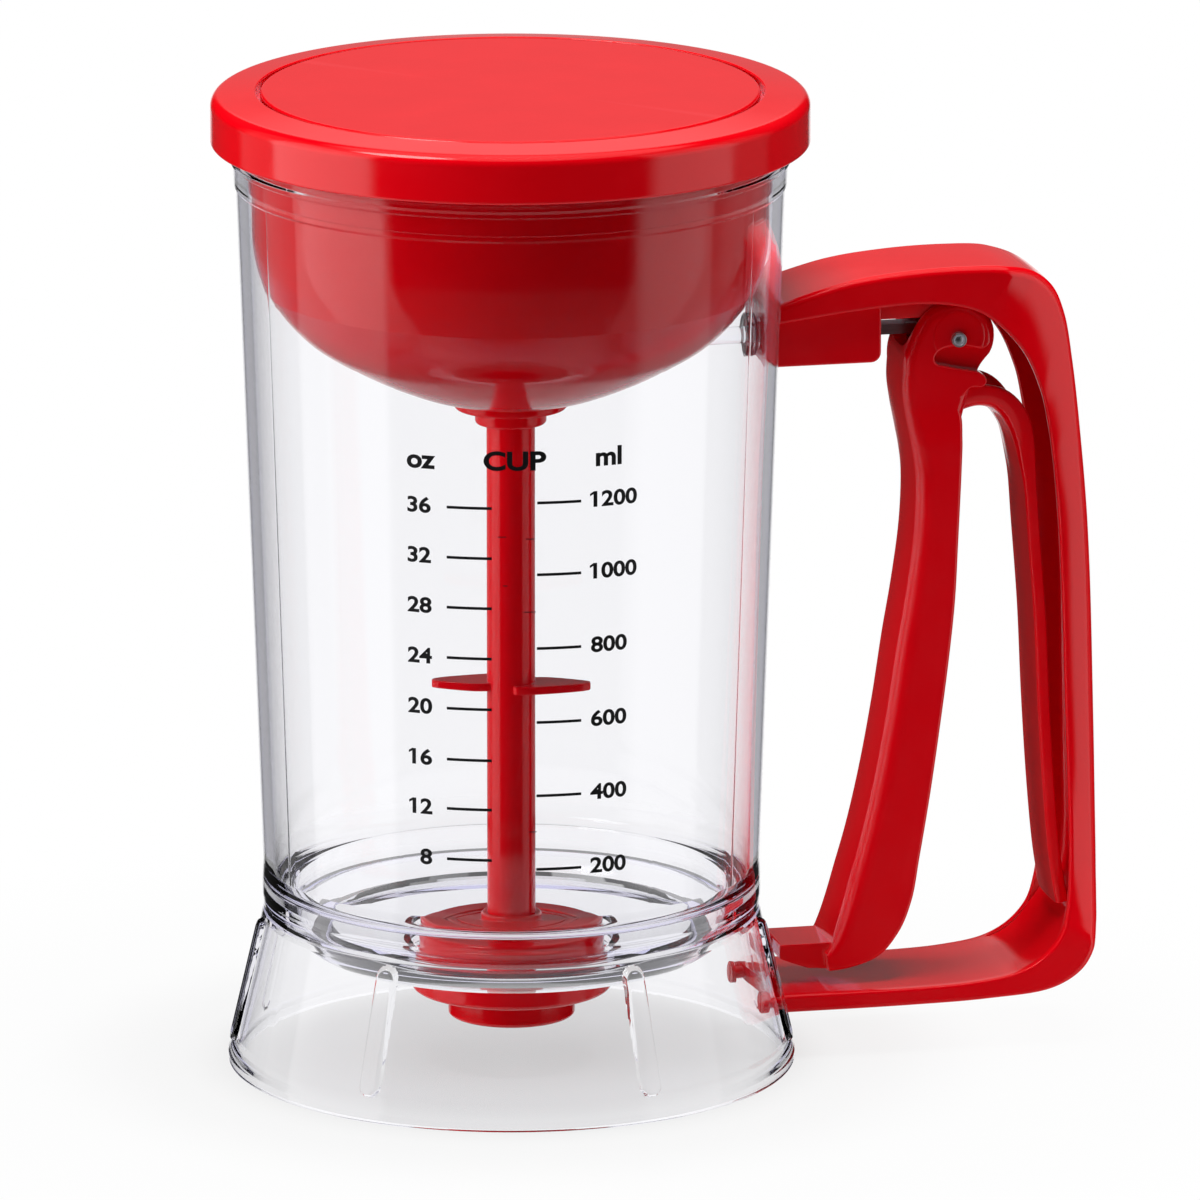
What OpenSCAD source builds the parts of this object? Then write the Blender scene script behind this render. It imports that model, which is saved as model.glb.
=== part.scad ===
// Batter dispenser: a clear measuring jar on a flared foot, a lift-out funnel with a
// valve stem, a cap, and a side handle whose trigger opens the valve in the jar's floor.
// Millimetres. Z is up, z = 0 is the table, the origin is on the jar's axis, and the
// handle points along +X.

/* [Foot and skirt] */
// Outer radius of the foot ring
foot_r = 67; // [60:0.5:75]
// Height of the foot ring
foot_h = 3.6; // [2:0.2:6]
// Step from the foot ring in to the skirt
foot_step = 0.9; // [0.4:0.1:2]
// Height where the skirt meets the waist
skirt_h = 38; // [36:0.5:42]
// Wall of the skirt
skirt_wall = 2.4; // [1.8:0.1:3]
// Angle from the jar's front to the first rib on either side
rib_a = 30; // [20:1:40]
// Angle from the jar's front to the second rib on either side
rib_b = 83.5; // [60:0.5:84]
// Angle from the jar's front to the third rib on either side
rib_c = 111.3; // [110:0.1:112]
// Width of a rib
rib_w = 6; // [4:0.5:9]
// Height of a rib above the skirt
rib_out = 1; // [0.6:0.1:1.6]
// Height of the lower end of a rib
rib_low_z = 6.5; // [5:0.5:12]

/* [Jar] */
// Turn of the jar's front away from -Y, towards -X
front_turn = 12.5; // [0:0.5:12.5]
// Outer radius of the jar at the waist
waist_r = 58.4; // [55:0.2:62]
// Height of the waist band
waist_h = 9; // [6:0.5:12]
// Bulge of the waist band
waist_bulge = 0.8; // [0.4:0.1:1.5]
// Outer radius of the jar at its rim
rim_r = 64.6; // [62:0.2:66]
// Height of the jar's rim
rim_z = 226; // [215:1:240]
// Wall of the jar
jar_wall = 2.6; // [2:0.1:3]
// Drop from the rim to the ring just under the cap
collar_drop = 9; // [8.6:0.1:12]
// Drop from the rim to the ledge inside the jar that steadies the funnel
ledge_drop = 14; // [13.4:0.2:20]

/* [Jar floor and outlet] */
// Distance from the outside of the waist in to the dished floor's corner
dish_in = 7.4; // [6.4:0.2:10]
// Radius of the curve across the dished floor
dish_sweep_r = 137; // [120:1:170]
// Thickness of the dished floor
dish_wall = 3; // [2:0.1:4]
// Height of the floor's flat centre
seat_z = 26; // [25.5:0.1:27]
// Outer radius of the valve seat ring
seat_r = 21.9; // [20.5:0.1:24]
// Height of the valve seat ring
seat_h = 5.5; // [4.5:0.1:7]
// Radius of the outlet bore
outlet_r = 12; // [9:0.5:13]
// Radius of the neck that passes through the floor
neck_r = 17; // [15.5:0.1:18]
// Outer radius of the outlet nut
nut_r = 23.6; // [22:0.2:26]
// Height of the outlet nut
nut_h = 5; // [4:0.2:7]
// Outer radius of the spout
spout_r = 15; // [13.6:0.2:15.4]
// Length of the spout below the nut
spout_drop = 6.6; // [4:0.2:9]

/* [Funnel] */
// Radial gap between the funnel and the jar's ledge
funnel_gap = 0.27; // [0.2:0.01:0.4]
// Wall of the funnel
funnel_wall = 2; // [1.5:0.1:2.5]
// Drop from the rim to the crease between the funnel's wall and its dome
crease_drop = 40.5; // [34:0.5:44]
// Step from the funnel's wall in to the crease
crease_step = 4.3; // [3:0.1:6]
// Drop from the rim to the funnel's flat centre
funnel_drop = 66; // [64:0.5:69]
// Outer radius of the collar under the funnel
collar_r = 13.3; // [12.5:0.1:15]
// Radius of the collar's nose
nose_r = 8.4; // [7.6:0.1:10]
// Length of the collar's nose
nose_h = 3.7; // [2:0.1:5]
// Thickness of the collar's flange
collar_h = 2; // [1.5:0.1:3]

/* [Valve stem] */
// Radius of the stem
stem_r = 5.7; // [4.5:0.1:6]
// Rise of the stem's top end above the push rod
stem_rise = 15.5; // [14.6:0.1:19]
// Radius of the valve plug
plug_r = 15.9; // [14:0.1:16.2]
// Thickness of the valve plug
plug_h = 3.3; // [2.6:0.1:4]
// Radius of the plug's hub
hub_r = 7.2; // [6.4:0.1:9]
// Height of the plug's hub
hub_h = 3.5; // [2:0.1:5]
// Height of the stirring wings
wing_z = 90; // [60:1:130]
// Half length of the stirring wings
wing_len = 18.7; // [15:0.1:22]
// Half depth of the stirring wings
wing_depth = 6.9; // [6.6:0.1:8]
// Thickness of the stirring wings
wing_t = 1.8; // [1.2:0.1:3]

/* [Cap] */
// Radial gap between the cap's side and the jar's rim
cap_gap = 2.8; // [2:0.1:4]
// Reach of the cap's side below its seat on the gasket
cap_drop = 6.9; // [5:0.1:7.6]
// Height of the cap's side
cap_side_h = 10.9; // [9:0.1:14]
// Wall of the cap's side
cap_wall = 2.6; // [2:0.1:3]
// Rise of the cap's top from its edge to the disc
cap_crown = 1.5; // [0.5:0.1:2.5]
// Width of the border round the inlaid disc
cap_border = 11.2; // [10:0.2:20]
// Thickness of the inlaid disc
disc_h = 2.7; // [2:0.1:3]
// Gap around the inlaid disc
disc_gap = 0.5; // [0.3:0.1:1]

/* [Handle] */
// Width of the arm and the grip
arm_w = 28; // [26:0.5:32]
// Width of the lower bar
bar_w = 36; // [32:0.5:42]
// Wall of the handle
handle_wall = 2.5; // [2:0.1:3]
// Thickness of the lower bar
bar_t = 4.4; // [3.6:0.1:5.5]
// Height of the lower bar's underside
bar_z = 11.5; // [10.5:0.1:12]
// Reach of the grip's back from the jar's wall
grip_reach = 76.6; // [74:0.2:84]
// Rise of the arm's crown above the push rod
arm_rise = 16.5; // [15.6:0.1:20]
// Length of the rod housing along the arm
housing_len = 23.6; // [20:0.2:26]
// Drop from the push rod to the rod housing's underside
housing_drop = 5.8; // [5.4:0.1:8]

/* [Trigger] */
// Distance of the trigger's pivot from the jar's wall
pivot_reach = 42.4; // [40:0.2:45]
// Drop from the push rod to the trigger's pivot
pivot_drop = 1.3; // [0.4:0.1:2.4]
// Radius of the pivot pin
pivot_r = 1.8; // [1.4:0.1:2.2]
// Width of the trigger
trigger_w = 22; // [22:0.2:23]
// Wall of the trigger
trigger_wall = 2.4; // [1.8:0.1:2.6]
// Lever arm from the pivot up to the link pin
link_arm = 8; // [7.6:0.1:9]
// Radius of the link pin
link_r = 1.2; // [1:0.1:1.3]
// Width of the trigger's toe
toe_w = 16; // [12:0.5:17]
// Thickness of the return leaf
leaf_t = 2.2; // [1.6:0.1:2.8]
// Width of the return leaf
leaf_w = 16; // [12:0.5:20]

/* [Push rod] */
// Drop from the rim to the push rod
rod_drop = 53.5; // [52:0.1:54]
// Height of the push rod's section
rod_t = 2.4; // [1.6:0.1:2.4]
// Width of the push rod's section
rod_w = 5; // [4:0.2:6]
// Radius of the plunger
plunger_r = 2; // [1.6:0.1:2.4]
// Radius of the port bushing's head
port_r = 5.2; // [5:0.1:6.5]
// Radius of the port bushing's shank
shank_r = 4; // [3.6:0.1:4.4]

/* [Bell crank] */
// Distance of the crank's pivot from the jar's axis
crank_x = 33; // [32:0.5:34]
// Lever arm from the crank's pivot down to the input pin
crank_in = 6.5; // [6:0.1:7]
// Radius of the crank pin
crank_pin_r = 1.5; // [1.2:0.1:2]
// Width of the crank's plate
crank_w = 6; // [4:0.2:7]
// Radius of the input pin
input_r = 1.8; // [1.4:0.1:2]

/* [Fits] */
// Radial clearance of a running fit
run_fit = 0.05; // [0.02:0.01:0.1]
// Gap between pieces that only come close
free_gap = 0.3; // [0.2:0.05:0.5]
// Gap between the handle and the jar's wall
seat_gap = 0.05; // [0.02:0.01:0.1]

/* [Hidden] */
$fn = 96;

red = "red";
clear = [0.85, 0.88, 0.95, 0.35];
steel = "silver";
rubber = [0.2, 0.2, 0.22];
big = 400;

// ---- jar outline ----
collar_z = rim_z - collar_drop;
ledge_z = rim_z - ledge_drop;
rod_z = rim_z - rod_drop;
waist_z = skirt_h + waist_h;
jar_slope = (rim_r - waist_r) / (rim_z - waist_z);
skirt_low_r = foot_r - foot_step;
skirt_low_z = foot_h + foot_step;
skirt_slope = (skirt_low_r - waist_r) / (skirt_h - skirt_low_z);
foot_in_r = foot_r - 4.2;
rib_high_z = skirt_h - 3;
collar_band_r = rim_r + 1.3;
collar_band_h = 1.8;
ledge_h = 2.5;

// ---- floor ----
dish_r = waist_r - dish_in;
dish_corner_r = 10;
dish_mid_z = skirt_h + 2.1;
dish_axis_z = dish_mid_z + sqrt(pow(dish_sweep_r - dish_corner_r, 2) - pow(dish_r - dish_corner_r, 2));
dish_turn = acos((dish_axis_z - dish_mid_z) / (dish_sweep_r - dish_corner_r));
floor_flat_r = 24;
gasket_h = 1;
ring_z = seat_z + gasket_h;
ring_top_z = ring_z + seat_h;
ring_floor_z = ring_z + 1.5;
ring_recess_r = plug_r + 0.4;
nut_z = seat_z - dish_wall - 0.5 - nut_h;
nut_floor = 1.5;
neck_low_z = nut_z + nut_floor + 1.3;
spout_flange_h = 1.2;

// ---- funnel ----
band_r = ledge_inner_r() + 0.5;
funnel_r = ledge_inner_r() - funnel_gap;
crease_z = rim_z - crease_drop;
crease_r = funnel_r - crease_step;
funnel_low_z = rim_z - funnel_drop;
// Dome of the funnel, from its crease in to its collar, as shares of radius and height.
dome_shape = [[1, 1], [0.787, 0.592], [0.568, 0.365], [0.402, 0.2235], [0.203, 0.0863], [0.0467, 0.0118], [0, 0]];
funnel_side = [
    for (p = dome_shape) [collar_r + p[0] * (crease_r - collar_r), funnel_low_z + p[1] * (crease_z - funnel_low_z)]
];
flange_h = 1.2;
funnel_hole_r = nose_r + 0.6;
funnel_floor_t = 3.5;
nut2_h = 3;

// ---- valve ----
stem_top_z = rod_z + stem_rise;
plug_z = ring_floor_z + 0.5;
plug_top_z = plug_z + plug_h;
seal_h = plug_z - ring_floor_z;
seal_out_r = plug_r - 0.5;
hub_top_z = plug_top_z + hub_h;
nose_low_z = plug_z - 5.5;

// ---- crank ----
crank_z = rod_z + crank_in;
crank_tip_r = 2;
crank_web = 2.8;
input_tip_r = 2;
input_head_r = input_r + 0.6;
input_head_l = 1;
input_sweep = 4;
collar_low_z = crank_z - 1.1 + crank_tip_r + free_gap;
lift_collar_r = 9;
lift_collar_h = 3;
fork_in = stem_r + 0.6;
fork_out = lift_collar_r - 0.4;
cheek_in = crank_w / 2 + 2.8;
cheek_t = 2;
input_in_x = crank_x + input_tip_r + free_gap;
input_out_x = dome_r(rod_z + input_r) + 1.9;
boss_r = 3.6;
boss_in_x = input_in_x + 1.6;

// ---- push rod ----
root_x = jar_r(rod_z) + 0.15;
root_wall = 4;
pivot_x = root_x + pivot_reach;
pivot_z = rod_z - pivot_drop;
plunger_in_x = input_out_x + free_gap;
plunger_head_x = root_x + root_wall + 6.9;
plunger_head_l = 4.2;
plunger_head_r = 3.2;
rod_in_x = plunger_head_x + 1;
link_z = pivot_z + link_arm;
rod_bend_x = pivot_x - 8;
eye_t = 2;
eye_r = 2.6;
link_play = 0.16;

// ---- handle ----
grip_x = root_x + grip_reach;
arm_top_z = rod_z + arm_rise;
bar_root_x = skirt_r(bar_z + bar_t) - 1;
housing_z = rod_z - housing_drop;
port_face_x = jar_r(rod_z) - jar_wall - 0.9;
housing_wall = 2;
housing_y = arm_w / 2 - handle_wall - 0.1;
housing_x1 = root_x + housing_len;
housing_top_z = rod_z + 8.1;
fork_cheek_in = eye_t / 2 + free_gap;
fork_cheek_out = 3.5;
lug_in = fork_cheek_out + free_gap + 0.2;
lug_out = lug_in + 3.4;
ear_in = lug_out + free_gap;
lug_r = 4.5;
bar_top_z = bar_z + bar_t;
screw_r = 1.5;
small_screw_r = 1.2;
small_screw_x = housing_x1 - 7;
small_screw_y = 6.3;
post_r = 2.6;
screw_y = 14.4;
screw_z = bar_z + bar_t / 2;

// Height on the handle, as a share of the rise from the lower bar to the arm's crown.
function up(share) = bar_z + share * (arm_top_z - bar_z);
// Height on the trigger, as a share of the drop from its pivot to its toe.
function down(share) = pivot_z - share * (pivot_z - toe_low_z);

// Crown of the arm and back of the grip, from the jar round to the lower bar.
frame_out = [
    [root_x - 3, up(0.9594)], [root_x + 15.1, up(0.987)], [root_x + 30.1, up(0.9972)], [pivot_x + 1.7, arm_top_z],
    [grip_x - 22.5, up(0.9966)], [grip_x - 15.5, up(0.9854)], [grip_x - 10.6, up(0.9651)], [grip_x - 7.8, up(0.9245)],
    [grip_x - 5.9, up(0.8592)], [grip_x - 4.4, up(0.7803)], [grip_x - 2.7, up(0.6789)], [grip_x - 1.5, up(0.5662)],
    [grip_x - 0.5, up(0.3859)], [grip_x, up(0.1831)], [grip_x - 0.6, up(0.093)], [grip_x - 4.4, up(0.0361)],
    [grip_x - 11.8, up(0.0124)], [grip_x - 27.5, up(0.0028)], [root_x + 29.1, bar_z]
];
// Underside of the arm and front of the grip, from the lower bar back to the jar.
frame_in = [
    [root_x + 29.1, bar_top_z], [pivot_x + 3.7, up(0.0282)], [grip_x - 19.7, up(0.0394)], [grip_x - 12.1, up(0.0642)],
    [grip_x - 8.1, up(0.1211)], [grip_x - 7.5, up(0.2169)], [grip_x - 8.3, up(0.3859)], [grip_x - 9.3, up(0.538)],
    [grip_x - 10.7, up(0.6845)], [grip_x - 12.2, up(0.7634)], [grip_x - 15, up(0.831)], [grip_x - 18.5, up(0.8761)],
    [grip_x - 23.5, up(0.911)], [pivot_x + 5, up(0.9346)], [pivot_x - 2.3, up(0.9459)], [root_x + 30.1, up(0.9499)],
    [root_x + 21.1, up(0.9476)], [root_x - 3, up(0.9335)]
];

toe_low_z = bar_top_z + 3.2;
toe_mid_z = toe_low_z + 1.9;
toe_top_z = toe_low_z + 5.5;
toe_x = skirt_r(toe_mid_z) + rib_out - 0.1;
toe_slot_w = 5;

// Finger side of the trigger, from its head down to its toe.
trigger_front = [
    [pivot_x - 9.7, down(0.0178)], [pivot_x - 11.7, down(0.0539)], [pivot_x - 12.5, down(0.0934)], [pivot_x - 11.9, down(0.1328)],
    [pivot_x - 10.4, down(0.1788)], [pivot_x - 9.9, down(0.2314)], [pivot_x - 10.3, down(0.3103)], [pivot_x - 12.1, down(0.4024)],
    [pivot_x - 14.3, down(0.4878)], [pivot_x - 16.7, down(0.593)], [pivot_x - 19.8, down(0.7048)], [pivot_x - 22.9, down(0.7936)],
    [pivot_x - 27, down(0.8909)], [pivot_x - 30.3, down(0.9638)]
];
// Back of the trigger, from its toe up to its head.
trigger_back = [
    [pivot_x - 30.3, down(1)], [pivot_x - 22.4, down(0.9921)], [pivot_x - 15.9, down(0.9586)], [pivot_x - 11, down(0.904)],
    [pivot_x - 8.9, down(0.8297)], [pivot_x - 6.3, down(0.7219)], [pivot_x - 3.5, down(0.5996)], [pivot_x - 1.2, down(0.478)],
    [pivot_x + 0.1, down(0.3366)], [pivot_x + 0.9, down(0.238)], [pivot_x + 1.1, down(0.1591)], [pivot_x + 2, down(0.1229)]
];

// Beak and notch under the trigger's head, from the pivot.
beak = [
    [4.2, -14], [6.3, -12.2], [6.9, -10.8], [5.9, -9.2], [0.2, -7.8], [-5.1, -6.6],
    [-5.9, -5.5], [-4.9, -4.6], [0.2, -4.7], [5.2, -3.2]
];
ear_r = 7;

// Middle line of the return leaf, from its root in the trigger to its foot in the grip.
leaf_line = [
    [pivot_x - 0.8, down(0.1394)], [pivot_x + 1.2, down(0.1098)], [pivot_x + 5.7, down(0.0894)], [pivot_x + 11.2, down(0.0947)],
    [grip_x - 18.1, down(0.1328)], [grip_x - 15.9, down(0.2183)], [grip_x - 14.9, down(0.3235)], [grip_x - 13.7, down(0.455)],
    [grip_x - 12.6, down(0.5996)], [grip_x - 11.1, down(0.7442)], [grip_x - 9.5, down(0.8494)], [grip_x - 7.9, down(0.9119)]
];
leaf_lip_t = 1.6;
leaf_lip_h = 2.6;

// ---- helper functions ----
function jar_r(z) = waist_r + (z - waist_z) * jar_slope;
function skirt_r(z) = waist_r + (skirt_h - z) * skirt_slope;
function ledge_inner_r() = jar_r(ledge_z) - jar_wall - 0.85;
// Outer radius of the funnel's dome at a height.
function dome_r(z) = collar_r + (crease_r - collar_r)
    * lookup((z - funnel_low_z) / (crease_z - funnel_low_z), [for (p = dome_shape) [p[1], p[0]]]);
function turn_pts(cx, cz, r, a0, a1, n) =
    [for (i = [0:n]) [cx + r * cos(a0 + (a1 - a0) * i / n), cz + r * sin(a0 + (a1 - a0) * i / n)]];
function mix3(a, b, c, d, t) = 0.5 * (
    2 * b + (c - a) * t + (2 * a - 5 * b + 4 * c - d) * t * t + (3 * b - a - 3 * c + d) * t * t * t);
function at(p, i) = p[min(max(i, 0), len(p) - 1)];
function smooth(p, n) = concat(
    [for (i = [0:len(p) - 2]) for (k = [0:n - 1]) mix3(at(p, i - 1), at(p, i), at(p, i + 1), at(p, i + 2), k / n)],
    [p[len(p) - 1]]);
function unit(v) = v / norm(v);
function side(p, i, d) = p[i] + d * [unit(at(p, i + 1) - at(p, i - 1))[1], -unit(at(p, i + 1) - at(p, i - 1))[0]];
function strip(p, a, b) = concat(
    [for (i = [0:len(p) - 1]) side(p, i, a)],
    [for (i = [len(p) - 1:-1:0]) side(p, i, b)]);
function shift(p, d) = [for (q = p) q + d];

// ---- helper modules ----
// Extrudes a flat shape drawn in X and Z to a width centred on the XZ plane.
module xz(w) { rotate([90, 0, 0]) linear_extrude(height = w, center = true) children(); }
// A pair of such shapes, between two distances from the XZ plane.
module xz_pair(y0, y1) {
    for (s = [-1, 1]) translate([0, s * (y0 + y1) / 2, 0]) xz(y1 - y0) children();
}
module ring(r0, r1, z0, z1) {
    translate([0, 0, z0]) difference() {
        cylinder(r = r1, h = z1 - z0);
        translate([0, 0, -1]) cylinder(r = r0, h = z1 - z0 + 2);
    }
}
module x_rod(r, x0, x1, z) { translate([x0, 0, z]) rotate([0, 90, 0]) cylinder(r = r, h = x1 - x0); }
module y_rod(r, x, z, w) { translate([x, 0, z]) rotate([90, 0, 0]) cylinder(r = r, h = w, center = true); }
// Everything inside the jar's outer surface, grown by a gap.
module jar_envelope(gap) {
    rotate_extrude($fn = 180) polygon([
        [0, -1], [foot_r + gap, -1], [foot_r + gap, foot_h], [skirt_low_r + gap, skirt_low_z],
        [waist_r + gap, skirt_h], [waist_r + gap, waist_z], [rim_r + gap, rim_z], [0, rim_z]
    ]);
}

// ---- jar ----
function dish_top() = concat(
    [[dish_r, dish_mid_z + 3]],
    turn_pts(dish_r - dish_corner_r, dish_mid_z, dish_corner_r, 0, dish_turn - 90, 10),
    turn_pts(0, dish_axis_z, dish_sweep_r, dish_turn - 90, -90 + asin(floor_flat_r / dish_sweep_r), 8),
    [[floor_flat_r - 0.6, seat_z], [neck_r + free_gap, seat_z]]);
function dish_under() = concat(
    [[neck_r + free_gap, nut_z + nut_h]],
    [[nut_r + 0.6, nut_z + nut_h]],
    turn_pts(0, dish_axis_z, dish_sweep_r + dish_wall, -90 + asin((nut_r + 2.5) / dish_sweep_r), dish_turn - 90, 8),
    turn_pts(dish_r - dish_corner_r, dish_mid_z, dish_corner_r + dish_wall, dish_turn - 90, -20, 8),
    [[skirt_r(skirt_h - 1.5) - skirt_wall, skirt_h - 1.5]]);
module rib_slab(w, low, high) {
    translate([waist_r - 12, -w / 2, low]) cube([30, w, high - low]);
    for (z = [low, high]) translate([waist_r - 12, 0, z]) rotate([0, 90, 0]) cylinder(r = w / 2, h = 30, $fn = 32);
}
module skirt_band(a, b) {
    rotate_extrude($fn = 180) polygon([
        [skirt_r(0) + a, 0], [skirt_r(0) + b, 0], [skirt_r(skirt_h) + b, skirt_h], [skirt_r(skirt_h) + a, skirt_h]
    ]);
}
module ribs(w, a, b, low, high) {
    intersection() {
        skirt_band(a, b);
        for (turn = [rib_a, rib_b, rib_c]) for (s = [-1, 1])
            rotate([0, 0, s * turn - 90 - front_turn]) rib_slab(w, low, high);
    }
}
module container() {
    rib_mid = rib_w / 2;
    color(clear) difference() {
        union() {
            rotate_extrude($fn = 180) polygon(concat(
                dish_under(),
                [
                    [skirt_low_r - skirt_wall, skirt_low_z + 2], [foot_in_r, foot_h], [foot_in_r, 0],
                    [foot_r, 0], [foot_r, foot_h], [skirt_low_r, skirt_low_z], [waist_r, skirt_h],
                    [waist_r + waist_bulge, skirt_h + 2], [waist_r + waist_bulge, waist_z - 2], [waist_r, waist_z],
                    [jar_r(collar_z), collar_z], [collar_band_r, collar_z + 0.4],
                    [collar_band_r, collar_z + collar_band_h], [jar_r(collar_z + 2.2), collar_z + 2.2],
                    [rim_r, rim_z], [rim_r - jar_wall, rim_z], [jar_r(ledge_z) - jar_wall, ledge_z],
                    [ledge_inner_r(), ledge_z], [ledge_inner_r(), ledge_z - ledge_h + 0.8],
                    [jar_r(ledge_z - ledge_h) - jar_wall, ledge_z - ledge_h],
                    [jar_r(waist_z + 3) - jar_wall, waist_z + 3]
                ],
                turn_pts(jar_r(waist_z) - jar_wall - 4, waist_z, 4, -5, -80, 5),
                dish_top()
            ));
            ribs(rib_w, -skirt_wall / 2, rib_out, rib_low_z + rib_mid, rib_high_z - rib_mid);
            intersection() {
                x_rod(port_r + 1, port_face_x, jar_r(rod_z) - 1, rod_z);
                jar_envelope(0);
            }
        }
        ribs(rib_w - 2.6, -skirt_wall - 1, rib_out - 2, rib_low_z + rib_mid, rib_high_z - rib_mid);
        x_rod(shank_r + run_fit, port_face_x - 5, jar_r(rod_z) + 5, rod_z);
        for (s = [-1, 1]) translate([0, s * screw_y, 0]) x_rod(screw_r + 0.2, bar_root_x - 12, bar_root_x + 8, screw_z);
    }
}

// ---- outlet ----
module seat_ring() {
    color(red) difference() {
        union() {
            translate([0, 0, ring_z]) cylinder(r = seat_r - 0.6, h = seat_h);
            translate([0, 0, ring_z]) cylinder(r = seat_r, h = seat_h - 0.8);
            translate([0, 0, neck_low_z]) cylinder(r = neck_r, h = ring_z - neck_low_z + 0.5);
        }
        translate([0, 0, ring_floor_z]) cylinder(r = ring_recess_r, h = seat_h);
        translate([0, 0, neck_low_z - 1]) cylinder(r = outlet_r, h = big);
    }
}
module outlet_gasket() { color(rubber) ring(neck_r, seat_r - 1.4, seat_z, seat_z + gasket_h); }
module nozzle_nut() {
    color(red) difference() {
        union() {
            translate([0, 0, nut_z]) cylinder(r = nut_r - 0.7, h = nut_h);
            translate([0, 0, nut_z + 0.7]) cylinder(r = nut_r, h = nut_h - 1.4);
        }
        translate([0, 0, nut_z - 1]) cylinder(r = spout_r + 0.1, h = big);
        translate([0, 0, nut_z + nut_floor]) cylinder(r = neck_r, h = big);
    }
}
module spout() {
    color(red) difference() {
        union() {
            translate([0, 0, nut_z - spout_drop]) cylinder(r = spout_r, h = spout_drop);
            translate([0, 0, nut_z - 0.5]) cylinder(r = spout_r - 0.2, h = nut_floor + 0.5 + spout_flange_h);
            translate([0, 0, nut_z + nut_floor]) cylinder(r = neck_r - 0.2, h = spout_flange_h);
        }
        translate([0, 0, nut_z - spout_drop - 1]) cylinder(r = outlet_r, h = big);
    }
}

// ---- handle ----
function frame_outline() = concat(
    smooth(frame_out, 4), [[bar_root_x, bar_z], [bar_root_x, bar_top_z]], smooth(frame_in, 4));
// Space under the arm's roof and inside the grip's channel.
function frame_hollow() = let (o = smooth([for (i = [0:13]) frame_out[i]], 4)) concat(
    [for (i = [0:len(o) - 1]) side(o, i, handle_wall)],
    [
        [grip_x - handle_wall - 1, bar_top_z + 15.9], [grip_x - 22, bar_top_z + 13.5],
        [pivot_x, up(0.3)], [pivot_x, pivot_z - 10], [root_x - 6, pivot_z - 10]
    ]);
// Half widths of the handle seen from the end: narrow arm and grip, wider lower bar.
module frame_width(inset) {
    a = arm_w / 2 - inset;
    b = bar_w / 2 - inset;
    wide_z = bar_top_z + 10.1;
    taper_z = bar_top_z + 36.1;
    slim_z = bar_top_z + 54.1;
    translate([root_x - 10, 0, 0]) rotate([90, 0, 90]) linear_extrude(height = grip_x)
        polygon([
            [-b, 0], [b, 0], [b, wide_z], [a + 1, taper_z], [a, slim_z], [a, big],
            [-a, big], [-a, slim_z], [-a - 1, taper_z], [-b, wide_z]
        ]);
}
module handle_frame() {
    lug_x = pivot_x;
    color(red) difference() {
        union() {
            difference() {
                intersection() {
                    xz(bar_w + 4) polygon(frame_outline());
                    frame_width(0);
                }
                intersection() {
                    xz(bar_w + 4) polygon(frame_hollow());
                    frame_width(handle_wall);
                }
            }
            intersection() {
                union() {
                    xz_pair(lug_in, lug_out) translate([lug_x - lug_r, pivot_z]) square([2 * lug_r, 30]);
                    for (s = [-1, 1]) translate([0, s * (lug_in + lug_out) / 2, 0])
                        y_rod(lug_r, lug_x, pivot_z, lug_out - lug_in);
                    for (s = [-1, 1]) translate([small_screw_x, s * small_screw_y, housing_z + 10])
                        cylinder(r = post_r, h = 30);
                }
                xz(bar_w) polygon(frame_crown());
            }
        }
        jar_envelope(seat_gap);
        ribs(rib_w + 2 * free_gap, -1, rib_out + free_gap, rib_low_z + rib_w / 2, rib_high_z - rib_w / 2);
        y_rod(pivot_r, lug_x, pivot_z, 2 * lug_out + 1);
        for (s = [-1, 1]) translate([small_screw_x, s * small_screw_y, housing_z]) cylinder(r = small_screw_r, h = 16);
        for (s = [-1, 1]) translate([0, s * screw_y, 0]) x_rod(screw_r, bar_root_x - 5, bar_root_x + 9, screw_z);
    }
}
// Everything under the middle of the arm's roof.
function frame_crown() = let (o = smooth([for (i = [0:8]) frame_out[i]], 4)) concat(
    [for (i = [0:len(o) - 1]) side(o, i, handle_wall / 2)], [[root_x, pivot_z - 20]]);
module rod_housing() {
    color(red) difference() {
        intersection() {
            xz(2 * housing_y) polygon(concat(
                [[root_x - 4, housing_z], [housing_x1 - 3, housing_z]],
                turn_pts(housing_x1 - 2.5, housing_z + 2.5, 2.5, -80, 0, 5),
                [[housing_x1, housing_top_z], [root_x - 4, housing_top_z - 2.2]]
            ));
        }
        jar_envelope(seat_gap);
        translate([root_x + root_wall, -housing_y + housing_wall, housing_z + housing_wall])
            cube([housing_len - root_wall - housing_wall, 2 * (housing_y - housing_wall), 30]);
        x_rod(shank_r, port_face_x - 5, root_x + root_wall + 1, rod_z);
        translate([housing_x1 - housing_wall - 1, -rod_w / 2 - free_gap, rod_z - rod_t / 2 - free_gap])
            cube([housing_wall + 2, rod_w + 2 * free_gap, 20]);
        for (s = [-1, 1]) translate([small_screw_x, s * small_screw_y, housing_z - 1])
            cylinder(r = small_screw_r + free_gap, h = 8);
    }
}
module housing_screws() {
    head = 2.6;
    color(steel) for (s = [-1, 1]) translate([small_screw_x, s * small_screw_y, housing_z]) {
        translate([0, 0, -1.4]) difference() {
            cylinder(r = head, h = 1.4);
            translate([-head, -0.4, -0.1]) cube([2 * head, 0.8, 0.7]);
        }
        cylinder(r = small_screw_r, h = 15);
    }
}
module port_bushing() {
    color(clear) difference() {
        union() {
            x_rod(port_r, port_face_x - 2.4, port_face_x - 0.8, rod_z);
            x_rod(shank_r, port_face_x - 1, root_x + root_wall, rod_z);
        }
        x_rod(plunger_r + run_fit, port_face_x - 10, root_x + 20, rod_z);
    }
}
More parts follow.
